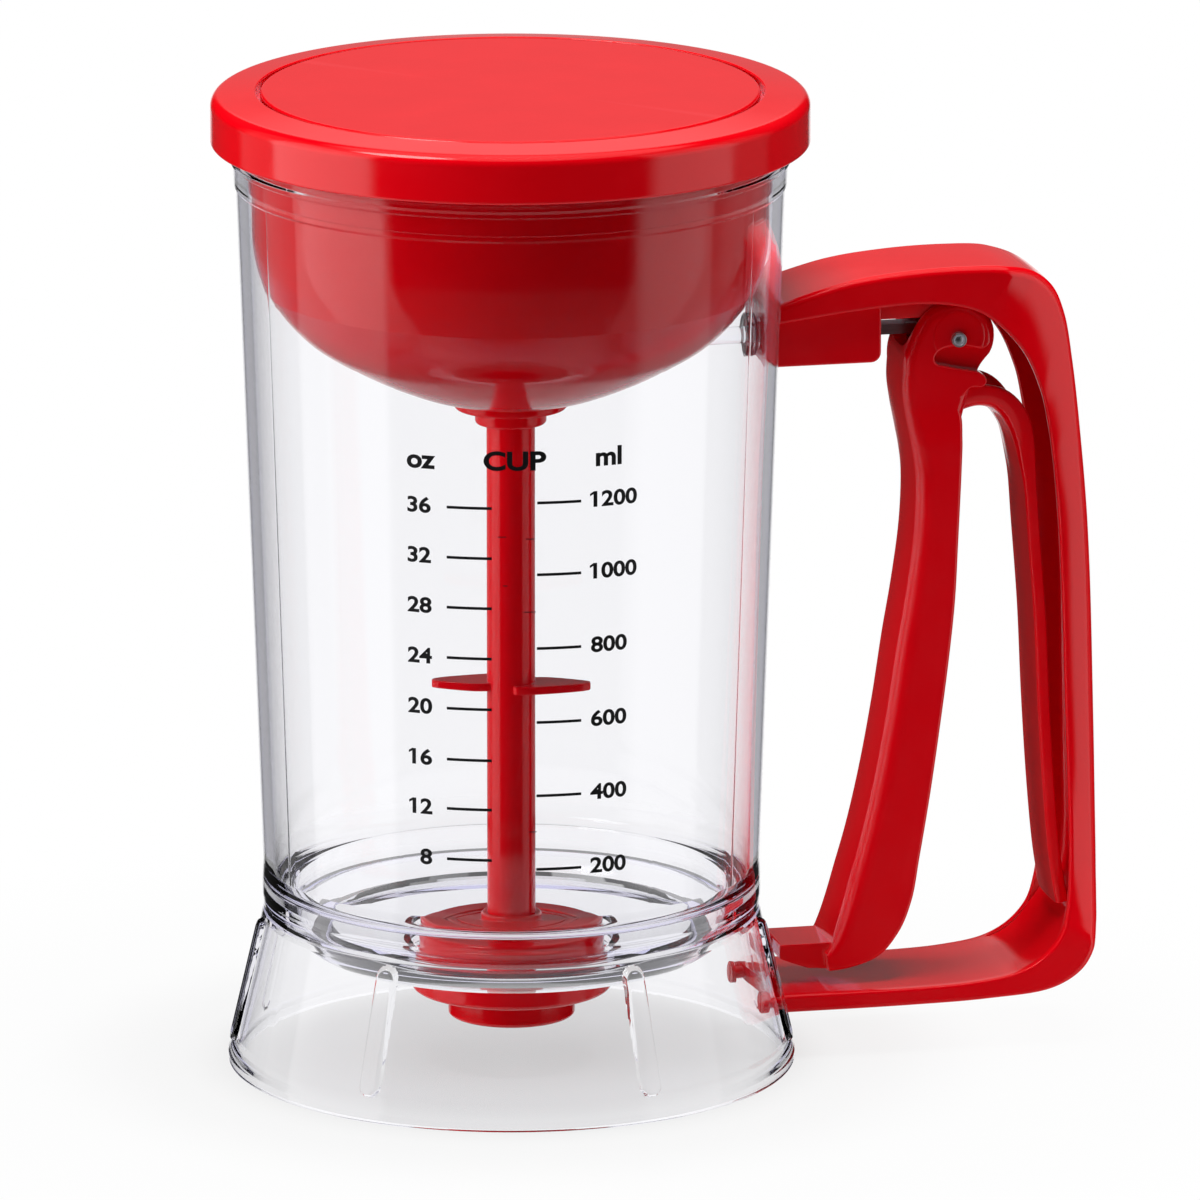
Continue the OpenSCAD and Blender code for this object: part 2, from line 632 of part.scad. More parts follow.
module port_seal() {
    color(rubber) difference() {
        x_rod(port_r - 0.2, port_face_x - 0.8, port_face_x, rod_z);
        x_rod(shank_r, port_face_x - 5, port_face_x + 5, rod_z);
    }
}
module lower_screws() {
    head_r = 2.6;
    head_x = sqrt(pow(skirt_r(screw_z + head_r) - skirt_wall, 2) - pow(screw_y + head_r, 2)) - 0.1;
    color(steel) for (s = [-1, 1]) translate([0, s * screw_y, 0]) difference() {
        union() {
            x_rod(screw_r, head_x, bar_root_x + 8, screw_z);
            x_rod(head_r, head_x - 1.6, head_x, screw_z);
        }
        translate([head_x - 2, -0.4, screw_z - 3]) cube([1, 0.8, 6]);
    }
}
module pivot_pin() { color(steel) y_rod(pivot_r, pivot_x, pivot_z, trigger_w + 1.6); }
module pin_clip() {
    color(steel) translate([pivot_x, trigger_w / 2 + 0.2, pivot_z]) rotate([-90, 0, 0]) difference() {
        cylinder(r = pivot_r + 1.3, h = 0.6);
        translate([0, 0, -1]) cylinder(r = pivot_r, h = 3);
    }
}

// ---- trigger ----
function trigger_outline() = concat(
    smooth(trigger_front, 3), smooth(trigger_back, 3),
    [for (q = beak) [pivot_x, pivot_z] + q],
    turn_pts(pivot_x, pivot_z, ear_r, -20, 120, 9));
function trigger_hollow() = concat(
    shift(smooth([for (i = [4:12]) trigger_front[i]], 3), [trigger_wall + 0.6, 0]),
    [
        [pivot_x - 15.3, down(0.928)], [pivot_x - 6.3, down(0.928)],
        [pivot_x + 9.7, down(0.731)], [pivot_x + 9.7, down(0.1525)]
    ]);
module trigger() {
    color(red) difference() {
        union() {
            difference() {
                xz(trigger_w) polygon(trigger_outline());
                xz(trigger_w - 2 * trigger_wall) polygon(trigger_hollow());
                xz_pair(lug_in - free_gap, ear_in) union() {
                    translate([pivot_x, pivot_z]) circle(r = lug_r + free_gap);
                    translate([pivot_x - 14, pivot_z]) square([28, 30]);
                }
            }
            xz(2 * fork_cheek_out) union() {
                translate([pivot_x, link_z]) circle(r = 3.2);
                translate([pivot_x - 3.2, pivot_z]) square([6.4, link_arm]);
                translate([pivot_x, pivot_z]) circle(r = ear_r - 1.6);
            }
            xz(toe_w) polygon([
                [toe_x + 3, toe_mid_z], [toe_x, toe_mid_z + 1.2], [toe_x, toe_top_z], [pivot_x - 25.3, toe_top_z],
                [pivot_x - 25.3, toe_mid_z], [pivot_x - 29.3, toe_low_z], [pivot_x - 35.3, toe_low_z + 0.5]
            ]);
        }
        xz(leaf_w) polygon(strip(smooth(leaf_line, 4), -leaf_lip_h, leaf_t));
        y_rod(pivot_r + run_fit, pivot_x, pivot_z, trigger_w + 2);
        y_rod(link_r, pivot_x, link_z, 2 * fork_cheek_out + 1);
        xz(2 * fork_cheek_in) union() {
            translate([pivot_x - 16, rod_z - rod_t / 2 - 0.9]) square([16 + 4, 20]);
        }
        translate([toe_x + 3.5, -toe_w / 2 - 1, toe_mid_z + 0.6]) cube([toe_slot_w, 3, 1.4]);
    }
}
module link_pin() { color(steel) y_rod(link_r, pivot_x, link_z, 2 * fork_cheek_out); }
module return_leaf() {
    path = smooth(leaf_line, 4);
    color(red) difference() {
        xz(leaf_w) polygon(strip(path, -leaf_lip_h, leaf_t));
        xz(leaf_w - 2 * leaf_lip_t) polygon(strip(path, -leaf_lip_h - 1, 0));
    }
}

// ---- push rod ----
module push_rod() {
    color(steel) difference() {
        union() {
            translate([rod_in_x, -rod_w / 2, rod_z - rod_t / 2]) cube([rod_bend_x - rod_in_x, rod_w, rod_t]);
            xz(eye_t) union() {
                polygon([
                    [rod_bend_x - 3, rod_z - rod_t / 2], [rod_bend_x + 1, rod_z - rod_t / 2],
                    [pivot_x - 1, link_z - 2], [pivot_x - 2, link_z + 1], [rod_bend_x - 3, rod_z + rod_t / 2]
                ]);
                translate([pivot_x, link_z]) circle(r = eye_r);
            }
        }
        y_rod(link_r + run_fit, pivot_x, link_z, eye_t + 1);
        y_rod(link_r + run_fit, pivot_x, link_z - link_play, eye_t + 1);
        xz(eye_t + 1) translate([pivot_x - link_r - run_fit, link_z - link_play])
            square([2 * (link_r + run_fit), link_play]);
    }
}
module plunger() {
    color(clear) difference() {
        union() {
            x_rod(plunger_r, plunger_in_x, plunger_head_x + 1, rod_z);
            x_rod(plunger_head_r, plunger_head_x, plunger_head_x + plunger_head_l, rod_z);
        }
        translate([rod_in_x, -rod_w / 2, rod_z - rod_t / 2]) cube([plunger_head_l, rod_w, rod_t]);
    }
}

// ---- funnel ----
function funnel_outer() = concat(
    [[band_r, rim_z], [band_r, ledge_z + free_gap], [funnel_r, ledge_z + free_gap]],
    [[funnel_r - 0.1, crease_z + 14.5], [funnel_r - 1.4, crease_z + 7.5]],
    smooth(funnel_side, 4));
function funnel_inner_side() = concat(
    [[band_r - funnel_wall, rim_z + flange_h], [band_r - funnel_wall, ledge_z], [funnel_r - funnel_wall, ledge_z - 2]],
    [[funnel_r - 0.1 - funnel_wall, crease_z + 14.5], [funnel_r - 1.5 - funnel_wall, crease_z + 7.5]],
    [for (p = smooth(funnel_side, 4)) [p[0] - funnel_wall * 0.75, p[1] + funnel_wall]]);
module funnel_below_inside() {
    rotate_extrude($fn = 180) polygon(concat(
        [for (p = funnel_inner_side()) if (p[0] > collar_r) p],
        [
            [collar_r - 1, funnel_low_z + funnel_floor_t], [0, funnel_low_z + funnel_floor_t],
            [0, funnel_low_z - 10], [2 * rim_r, funnel_low_z - 10], [2 * rim_r, rim_z + flange_h]
        ]
    ));
}
module funnel() {
    outer = funnel_outer();
    inner = funnel_inner_side();
    color(red) difference() {
        union() {
            rotate_extrude($fn = 180) polygon(concat(
                [[rim_r, rim_z + flange_h], [rim_r, rim_z]],
                outer,
                [[funnel_hole_r, funnel_low_z], [funnel_hole_r, funnel_low_z + funnel_floor_t],
                 [collar_r - 1, funnel_low_z + funnel_floor_t]],
                [for (i = [len(inner) - 1:-1:0]) if (inner[i][0] > collar_r) inner[i]]
            ));
            intersection() {
                x_rod(boss_r, boss_in_x, input_out_x + boss_r, rod_z);
                rotate_extrude($fn = 180) polygon(concat([[0, rim_z], [0, funnel_low_z]], [for (i = [len(outer) - 1:-1:0]) outer[i]]));
            }
        }
        x_rod(input_r + run_fit, input_in_x, input_out_x + boss_r + 1, rod_z);
        x_rod(input_head_r + free_gap, input_in_x - input_sweep, input_in_x + input_head_l + free_gap, rod_z);
    }
}
module stem_bushing() {
    color(red) difference() {
        union() {
            translate([0, 0, funnel_low_z - collar_h - nose_h]) cylinder(r = nose_r, h = nose_h + 1);
            translate([0, 0, funnel_low_z - collar_h]) cylinder(r = collar_r, h = collar_h);
            translate([0, 0, funnel_low_z - 1]) cylinder(r = funnel_hole_r, h = 1 + funnel_floor_t + nut2_h);
        }
        translate([0, 0, funnel_low_z - 20]) cylinder(r = stem_r + run_fit, h = big);
        translate([0, 0, funnel_low_z + 1]) cylinder(r = funnel_hole_r - 1.4, h = big);
    }
}
module bushing_nut() {
    z0 = funnel_low_z + funnel_floor_t;
    color(red) difference() {
        translate([0, 0, z0]) cylinder(r = 12 / cos(30), h = nut2_h, $fn = 6);
        translate([0, 0, z0 - 1]) cylinder(r = funnel_hole_r, h = nut2_h + 2);
    }
}
module stem_seal() {
    color(rubber) ring(stem_r + run_fit, funnel_hole_r - 1.4, funnel_low_z + 1, funnel_low_z + 3.4);
}

// ---- crank in the funnel ----
module crank_bracket() {
    w = cheek_in + cheek_t;
    color(red) difference() {
        union() {
            xz_pair(cheek_in, w) polygon([
                [crank_x - 8, funnel_low_z], [crank_x + 8, funnel_low_z], [crank_x + 4.5, crank_z + 3.4], [crank_x - 4.5, crank_z + 3.4]
            ]);
            translate([crank_x - 14, -w, funnel_low_z]) cube([10, 2 * w, rod_z - funnel_low_z - 3.1]);
        }
        funnel_below_inside();
        y_rod(crank_pin_r, crank_x, crank_z, 2 * w + 1);
    }
}
module crank_pin() { color(steel) y_rod(crank_pin_r, crank_x, crank_z, 2 * (cheek_in + cheek_t) + 1); }
module crank_spring() {
    wire = 0.6;
    coil_y = crank_w / 2 + free_gap + wire;
    color(steel) for (i = [0:1]) translate([crank_x, -coil_y - i * 1, crank_z]) rotate([90, 0, 0])
        rotate_extrude($fn = 48) translate([crank_pin_r + 0.4 + wire, 0]) circle(r = wire, $fn = 20);
}
module input_pin() {
    color(steel) {
        x_rod(input_r, input_in_x, input_out_x, rod_z);
        x_rod(input_head_r, input_in_x, input_in_x + input_head_l, rod_z);
    }
}
module bell_crank() {
    tip_z = collar_low_z - free_gap - crank_tip_r;
    color(red) difference() {
        union() {
            xz(crank_w) union() {
                translate([crank_x, crank_z]) circle(r = 3.6);
                translate([crank_x, rod_z]) circle(r = input_tip_r);
                translate([crank_x - crank_web / 2, rod_z]) square([crank_web, crank_in]);
                polygon([[crank_x, crank_z - 3], [crank_x, crank_z + 3], [14, tip_z + 2.2], [14, tip_z - 2]]);
            }
            translate([12, -fork_out, tip_z - 2]) cube([4, 2 * fork_out, 4]);
            xz_pair(fork_in, fork_out) union() {
                translate([0, tip_z]) circle(r = crank_tip_r);
                polygon([[0, tip_z - crank_tip_r], [0, tip_z + crank_tip_r], [13, tip_z + 2], [13, tip_z - 2]]);
            }
        }
        y_rod(crank_pin_r + run_fit, crank_x, crank_z, 2 * fork_out + 1);
    }
}

// ---- stem and valve ----
module stem() {
    color(red) union() {
        translate([0, 0, plug_z + 0.6]) cylinder(r = stem_r, h = stem_top_z - 3 - plug_z - 0.6);
        translate([0, 0, stem_top_z - 4]) cylinder(r = stem_r - 1.5, h = 4);
    }
}
module lift_collar() { color(red) ring(stem_r, lift_collar_r, collar_low_z, collar_low_z + lift_collar_h); }
module stem_nut() {
    z0 = collar_low_z + lift_collar_h;
    color(steel) difference() {
        translate([0, 0, z0]) cylinder(r = 7.6 / cos(30), h = 2.4, $fn = 6);
        translate([0, 0, z0 - 1]) cylinder(r = stem_r, h = 5);
    }
}
module stem_wings() {
    lens_len = wing_len + 1.4;
    arc_r = (pow(lens_len, 2) + pow(wing_depth, 2)) / (2 * wing_depth);
    color(red) translate([0, 0, wing_z - wing_t / 2]) difference() {
        linear_extrude(height = wing_t) intersection() {
            translate([0, wing_depth - arc_r]) circle(r = arc_r, $fn = 180);
            translate([0, arc_r - wing_depth]) circle(r = arc_r, $fn = 180);
            circle(r = wing_len);
        }
        translate([0, 0, -1]) cylinder(r = stem_r, h = wing_t + 2);
    }
}
module valve_plug() {
    groove = 0.8;
    color(red) difference() {
        union() {
            translate([0, 0, plug_z]) cylinder(r = plug_r, h = plug_h);
            translate([0, 0, plug_top_z - 0.1]) cylinder(r = hub_r, h = hub_h + 0.1);
            translate([0, 0, nose_low_z]) cylinder(r1 = 4.5, r2 = outlet_r - 1, h = plug_z - nose_low_z);
        }
        translate([0, 0, plug_z + 0.6]) cylinder(r = stem_r, h = big);
        ring(plug_r - 2.4, plug_r - 2.4 + groove, plug_top_z - 0.6, plug_top_z + 1);
    }
}
module plug_seal() { color(rubber) ring(outlet_r - 0.7, seal_out_r, ring_floor_z, plug_z); }

// ---- cap ----
cap_r = rim_r + cap_gap + cap_wall;
disc_r = cap_r - cap_border;
cap_low_z = gasket_top_z() - cap_drop;
cap_edge_z = cap_low_z + cap_side_h;
cap_top_z = cap_edge_z + cap_crown;
plate_z = gasket_top_z();
disc_z = cap_top_z - disc_h;
function gasket_top_z() = rim_z + flange_h + gasket_h + 0.2;
module lid_rim() {
    in_r = cap_r - cap_wall;
    hole_r = disc_r + disc_gap;
    color(red) rotate_extrude($fn = 180) polygon([
        [disc_r - 5, plate_z], [in_r - 0.8, plate_z], [in_r, plate_z - 0.8], [in_r, cap_low_z],
        [cap_r - 0.4, cap_low_z], [cap_r, cap_low_z + 0.4], [cap_r, cap_edge_z - 2.6], [cap_r - 0.6, cap_edge_z - 1],
        [cap_r - 1.9, cap_edge_z - 0.1], [cap_r - 3.4, cap_edge_z + 0.3], [hole_r + 0.3, cap_top_z], [hole_r, cap_top_z - 0.3],
        [hole_r, disc_z], [disc_r - 5, disc_z]
    ]);
}
module lid_disc() {
    color(red) rotate_extrude($fn = 180) polygon([
        [0, disc_z], [disc_r, disc_z], [disc_r, cap_top_z - 0.3], [disc_r - 0.3, cap_top_z], [0, cap_top_z + 0.1]
    ]);
}
module lid_gasket() { color(rubber) ring(rim_r - 3.6, rim_r, rim_z + flange_h, plate_z); }

container();
seat_ring();
outlet_gasket();
nozzle_nut();
spout();
handle_frame();
rod_housing();
housing_screws();
port_bushing();
port_seal();
lower_screws();
pivot_pin();
pin_clip();
trigger();
link_pin();
return_leaf();
push_rod();
plunger();
funnel();
stem_bushing();
bushing_nut();
stem_seal();
crank_bracket();
crank_pin();
crank_spring();
input_pin();
bell_crank();
stem();
lift_collar();
stem_nut();
stem_wings();
valve_plug();
plug_seal();
lid_rim();
lid_disc();
lid_gasket();
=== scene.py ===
"""Batter dispenser, dressed: meshes, finishes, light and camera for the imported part.

Lengths in the classes are millimetres and become metres when a mesh is made. Z is up,
the table is z = 0, the jar stands on the Z axis and the handle points along +X.
"""

import logging
import math
from dataclasses import dataclass, field
from enum import Enum
from functools import cached_property
from typing import Any, Callable, Iterable, Optional, Sequence

import bmesh
import bpy
from mathutils import Matrix, Vector


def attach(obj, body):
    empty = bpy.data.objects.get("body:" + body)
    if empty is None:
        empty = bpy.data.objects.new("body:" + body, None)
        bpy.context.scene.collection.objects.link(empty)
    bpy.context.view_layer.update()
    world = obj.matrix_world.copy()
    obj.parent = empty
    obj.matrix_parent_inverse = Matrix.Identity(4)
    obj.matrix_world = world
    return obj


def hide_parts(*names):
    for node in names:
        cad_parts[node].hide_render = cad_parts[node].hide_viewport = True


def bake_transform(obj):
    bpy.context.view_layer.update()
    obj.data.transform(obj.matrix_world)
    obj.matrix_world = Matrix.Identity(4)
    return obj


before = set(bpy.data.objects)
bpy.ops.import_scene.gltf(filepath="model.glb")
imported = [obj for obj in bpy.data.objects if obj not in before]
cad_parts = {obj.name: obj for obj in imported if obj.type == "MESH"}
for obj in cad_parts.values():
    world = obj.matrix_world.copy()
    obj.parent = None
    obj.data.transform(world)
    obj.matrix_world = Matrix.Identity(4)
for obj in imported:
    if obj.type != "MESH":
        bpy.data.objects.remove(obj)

MM = 0.001
LOG = logging.getLogger("batter_dispenser")
Flat = tuple[float, float]
Solid = tuple[float, float, float]
# X or radius, Z and fillet radius of each corner of an outline.
Corners = tuple[tuple[float, float, float], ...]
# Ways to mix two colours.
BLEND = {"data_type": "RGBA"}
LIGHTEN = {"data_type": "RGBA", "blend_type": "LIGHTEN", "Factor": 1.0}
MULTIPLY = {"data_type": "RGBA", "blend_type": "MULTIPLY", "Factor": 1.0}
WHITE = (1.0, 1.0, 1.0, 1.0)
BLACK = (0.0, 0.0, 0.0, 1.0)


# ---------------------------------------------------------------- colour and nodes

def linear(code: str) -> tuple[float, float, float, float]:
    """Turns an sRGB hex colour to linear light.

    Args:
        code: Six hex digits, with or without a leading hash.

    Returns:
        Linear red, green, blue and an alpha of one.
    """
    digits = code.lstrip("#")
    parts = [int(digits[i:i + 2], 16) / 255 for i in (0, 2, 4)]
    light = [c / 12.92 if c <= 0.04045 else ((c + 0.055) / 1.055) ** 2.4 for c in parts]
    return (light[0], light[1], light[2], 1.0)


def add_node(tree: bpy.types.NodeTree, kind: str, settings: Optional[dict[str | int, Any]] = None,
             links: Optional[dict[str | int, bpy.types.NodeSocket]] = None,
             stops: Sequence[Flat] = (), mode: str = "LINEAR") -> bpy.types.Node:
    """Adds one node, sets it and links it.

    Args:
        tree: The node tree it goes into.
        kind: The node's type name, such as ShaderNodeTexNoise.
        settings: Values by input name or number, or by the node's own property name.
        links: Output sockets by the name or number of the input they feed.
        stops: Place and grey level of each stop, for a node that holds a ramp.
        mode: The ramp's interpolation.

    Returns:
        The new node.
    """
    made = tree.nodes.new(kind)
    for key, value in (settings or {}).items():
        if isinstance(key, int) or key in made.inputs:
            made.inputs[key].default_value = value
        else:
            setattr(made, key, value)
    for key, source in (links or {}).items():
        tree.links.new(source, made.inputs[key])
    if stops:
        made.color_ramp.interpolation = mode
        points = made.color_ramp.elements
        while len(points) < len(stops):
            points.new(0.5)
        for point, (place, level) in zip(points, stops):
            point.position = place
            point.color = (level, level, level, 1.0)
    return made


def new_material(name: str) -> tuple[bpy.types.Material, bpy.types.NodeTree, bpy.types.Node]:
    """Makes an empty node material.

    Args:
        name: The material's name.

    Returns:
        The material, its tree and its output node.
    """
    made = bpy.data.materials.new(name)
    made.use_nodes = True
    made.node_tree.nodes.clear()
    return made, made.node_tree, add_node(made.node_tree, "ShaderNodeOutputMaterial")


# ---------------------------------------------------------------- finishes

@dataclass(frozen=True)
class GlossyAbs:
    """ABS, injection moulded in a polished tool and pigmented right through.

    The eye sees a deep saturated red, sharp reflections with a faint orange-peel
    waviness, slightly duller handled spots, and rims painted paler as a highlight.
    """

    name: str = "abs_moulded_polished"
    colour: str = "#EE0213"
    colour_deep: str = "#E60110"
    # Paler red painted on sharp convex rims as a highlight.
    worn: str = "#F4343C"
    roughness: float = 0.11
    ior: float = 1.5
    peel_mm: float = 2.2
    haze_mm: float = 14.0
    grain_mm: float = 0.35
    # How sharply a place turns, and how far a painted highlight pales it there.
    rub: tuple[Flat, ...] = ((0.0, 0.0), (0.54, 0.0), (0.64, 0.28))

    def build(self) -> bpy.types.Material:
        """Builds the node material.

        Returns:
            The material.
        """
        made, tree, out = new_material(self.name)
        place = add_node(tree, "ShaderNodeTexCoord").outputs["Object"]
        haze = add_node(tree, "ShaderNodeTexNoise",
                        {"Scale": 1 / (self.haze_mm * MM), "Detail": 3.0, "Roughness": 0.6},
                        {"Vector": place}).outputs["Fac"]
        grain = add_node(tree, "ShaderNodeTexNoise", {"Scale": 1 / (self.grain_mm * MM), "Detail": 2.0},
                         {"Vector": place}).outputs["Fac"]
        peel = add_node(tree, "ShaderNodeTexNoise", {"Scale": 1 / (self.peel_mm * MM), "Detail": 1.0},
                        {"Vector": place}).outputs["Fac"]
        body = add_node(tree, "ShaderNodeMix",
                        {**BLEND, "A": linear(self.colour_deep), "B": linear(self.colour)},
                        {"Factor": haze}).outputs["Result"]
        # Painted highlight: where the surface turns sharply outwards, the red is mixed towards the paler
        # tint.
        edge = add_node(tree, "ShaderNodeNewGeometry").outputs["Pointiness"]
        rub = add_node(tree, "ShaderNodeValToRGB", {}, {"Fac": edge}, self.rub).outputs["Color"]
        tone = add_node(tree, "ShaderNodeMix", {**BLEND, "B": linear(self.worn)},
                        {"Factor": rub, "A": body}).outputs["Result"]
        dull = add_node(tree, "ShaderNodeMapRange",
                        {"From Min": 0.3, "From Max": 0.75, "To Min": self.roughness - 0.03,
                         "To Max": self.roughness + 0.05},
                        {"Value": haze}).outputs["Result"]
        fine = add_node(tree, "ShaderNodeBump", {"Strength": 0.012, "Distance": 0.02 * MM},
                        {"Height": grain})
        wave = add_node(tree, "ShaderNodeBump", {"Strength": 0.045, "Distance": 0.05 * MM},
                        {"Height": peel, "Normal": fine.outputs["Normal"]})
        shell = add_node(tree, "ShaderNodeBsdfPrincipled", {"IOR": self.ior},
                         {"Base Color": tone, "Roughness": dull, "Normal": wave.outputs["Normal"]})
        tree.links.new(shell.outputs["BSDF"], out.inputs["Surface"])
        return made


@dataclass(frozen=True)
class ClearPolymer:
    """Styrene-acrylonitrile, injection moulded and water clear with a violet-blue cast.

    The eye sees almost nothing face on, and dark, white and faint violet lines where the
    wall turns away. Lamps pass so that what stands inside is lit.
    """

    name: str = "san_moulded_clear"
    colour: str = "#FEFEFF"
    cast: str = "#D6D5EE"
    density: float = 7.0
    roughness: float = 0.012
    ior: float = 1.36
    smear_mm: float = 22.0
    flow_mm: float = 9.0

    def build(self) -> bpy.types.Material:
        """Builds the node material.

        Returns:
            The material.
        """
        made, tree, out = new_material(self.name)
        place = add_node(tree, "ShaderNodeTexCoord").outputs["Object"]
        smear = add_node(tree, "ShaderNodeTexNoise", {"Scale": 1 / (self.smear_mm * MM), "Detail": 4.0},
                         {"Vector": place}).outputs["Fac"]
        flow = add_node(tree, "ShaderNodeTexNoise", {"Scale": 1 / (self.flow_mm * MM), "Detail": 1.0},
                        {"Vector": place}).outputs["Fac"]
        dull = add_node(tree, "ShaderNodeMapRange",
                        {"From Min": 0.4, "From Max": 0.8, "To Min": self.roughness * 0.3,
                         "To Max": self.roughness * 2.2},
                        {"Value": smear}).outputs["Result"]
        wave = add_node(tree, "ShaderNodeBump", {"Strength": 0.05, "Distance": 0.05 * MM},
                        {"Height": flow}).outputs["Normal"]
        shell = add_node(tree, "ShaderNodeBsdfPrincipled",
                         {"Base Color": linear(self.colour), "IOR": self.ior, "Transmission Weight": 1.0},
                         {"Roughness": dull, "Normal": wave})
        lit = add_node(tree, "ShaderNodeBsdfTransparent", {"Color": linear(self.colour)})
        lamp = add_node(tree, "ShaderNodeLightPath").outputs["Is Shadow Ray"]
        both = add_node(tree, "ShaderNodeMixShader", {},
                        {0: lamp, 1: shell.outputs["BSDF"], 2: lit.outputs["BSDF"]})
        depth = add_node(tree, "ShaderNodeVolumeAbsorption",
                         {"Color": linear(self.cast), "Density": self.density})
        tree.links.new(both.outputs["Shader"], out.inputs["Surface"])
        tree.links.new(depth.outputs["Volume"], out.inputs["Volume"])
        return made


@dataclass(frozen=True)
class DrawnSteel:
    """Stainless steel wire and strip, cold drawn, so fine lines run along it."""

    name: str = "stainless_drawn"
    colour: str = "#C4C4C8"
    shade: str = "#A2A4A8"
    roughness: float = 0.40
    line_mm: float = 0.4

    def build(self) -> bpy.types.Material:
        """Builds the node material.

        Returns:
            The material.
        """
        made, tree, out = new_material(self.name)
        place = add_node(tree, "ShaderNodeTexCoord").outputs["Object"]
        # Drawing lines are finer than a pixel; they are drawn at 0.4 mm so that they show.
        along = add_node(tree, "ShaderNodeMapping", {"Scale": (0.06, 1.0, 1.0)},
                         {"Vector": place}).outputs["Vector"]
        lines = add_node(tree, "ShaderNodeTexNoise", {"Scale": 1 / (self.line_mm * MM), "Detail": 3.0},
                         {"Vector": along}).outputs["Fac"]
        dull = add_node(tree, "ShaderNodeMapRange",
                        {"To Min": self.roughness - 0.06, "To Max": self.roughness + 0.1},
                        {"Value": lines}).outputs["Result"]
        tone = add_node(tree, "ShaderNodeMix",
                        {**BLEND, "A": linear(self.shade), "B": linear(self.colour)},
                        {"Factor": lines}).outputs["Result"]
        dent = add_node(tree, "ShaderNodeBump", {"Strength": 0.15, "Distance": 0.02 * MM},
                        {"Height": lines}).outputs["Normal"]
        shell = add_node(tree, "ShaderNodeBsdfPrincipled", {"Metallic": 1.0},
                         {"Base Color": tone, "Roughness": dull, "Normal": dent})
        tree.links.new(shell.outputs["BSDF"], out.inputs["Surface"])
        return made


@dataclass(frozen=True)
class Silicone:
    """Silicone rubber, compression moulded: matte, with a fine dusty bloom."""

    name: str = "silicone_moulded"
    colour: str = "#3A3A3D"
    bloom: str = "#4C4C50"
    roughness: float = 0.62
    bloom_mm: float = 0.8

    def build(self) -> bpy.types.Material:
        """Builds the node material.

        Returns:
            The material.
        """
        made, tree, out = new_material(self.name)
        place = add_node(tree, "ShaderNodeTexCoord").outputs["Object"]
        dust = add_node(tree, "ShaderNodeTexNoise", {"Scale": 1 / (self.bloom_mm * MM), "Detail": 3.0},
                        {"Vector": place}).outputs["Fac"]
        tone = add_node(tree, "ShaderNodeMix",
                        {**BLEND, "A": linear(self.colour), "B": linear(self.bloom)},
                        {"Factor": dust}).outputs["Result"]
        dull = add_node(tree, "ShaderNodeMapRange",
                        {"To Min": self.roughness - 0.08, "To Max": self.roughness + 0.12},
                        {"Value": dust}).outputs["Result"]
        dent = add_node(tree, "ShaderNodeBump", {"Strength": 0.2, "Distance": 0.03 * MM},
                        {"Height": dust}).outputs["Normal"]
        shell = add_node(tree, "ShaderNodeBsdfPrincipled", {"IOR": 1.41},
                         {"Base Color": tone, "Roughness": dull, "Normal": dent})
        tree.links.new(shell.outputs["BSDF"], out.inputs["Surface"])
        return made


@dataclass(frozen=True)
class ScreenInk:
    """Black ink, screen printed: near black, satin, slightly uneven in cover."""

    name: str = "ink_screen_printed"
    colour: str = "#0B0B0D"
    thin: str = "#17171A"
    roughness: float = 0.42
    mesh_mm: float = 0.25

    def build(self) -> bpy.types.Material:
        """Builds the node material.

        Returns:
            The material.
        """
        made, tree, out = new_material(self.name)
        place = add_node(tree, "ShaderNodeTexCoord").outputs["Object"]
        cover = add_node(tree, "ShaderNodeTexNoise", {"Scale": 1 / (self.mesh_mm * MM), "Detail": 2.0},
                         {"Vector": place}).outputs["Fac"]
        tone = add_node(tree, "ShaderNodeMix",
                        {**BLEND, "A": linear(self.colour), "B": linear(self.thin)},
                        {"Factor": cover}).outputs["Result"]
        dull = add_node(tree, "ShaderNodeMapRange",
                        {"To Min": self.roughness - 0.1, "To Max": self.roughness + 0.1},
                        {"Value": cover}).outputs["Result"]
        shell = add_node(tree, "ShaderNodeBsdfPrincipled", {"IOR": 1.5, "Specular IOR Level": 0.3},
                         {"Base Color": tone, "Roughness": dull})
        tree.links.new(shell.outputs["BSDF"], out.inputs["Surface"])
        return made


class Slot(Enum):
    """Material slots of the record that pieces take their finish from."""

    CLEAR = "clear_plastic"
    RED = "red_plastic"
    STEEL = "steel"
    RUBBER = "rubber_seal"
    SOFT = "clear_seal"


@dataclass
class Finishes:
    """One material of each finish, made once."""

    red: bpy.types.Material = field(default_factory=lambda: GlossyAbs().build())
    clear: bpy.types.Material = field(default_factory=lambda: ClearPolymer().build())
    steel: bpy.types.Material = field(default_factory=lambda: DrawnSteel().build())
    seal: bpy.types.Material = field(default_factory=lambda: Silicone().build())
    soft: bpy.types.Material = field(
        default_factory=lambda: Silicone("silicone_moulded_pale", "#C9C9CC", "#D6D6D8").build())
    ink: bpy.types.Material = field(default_factory=lambda: ScreenInk().build())

    def of(self, slot: Slot) -> bpy.types.Material:
        """Gives the material of a record slot."""
        return {Slot.CLEAR: self.clear, Slot.RED: self.red, Slot.STEEL: self.steel,
                Slot.RUBBER: self.seal, Slot.SOFT: self.soft}[slot]


# ---------------------------------------------------------------- shapes

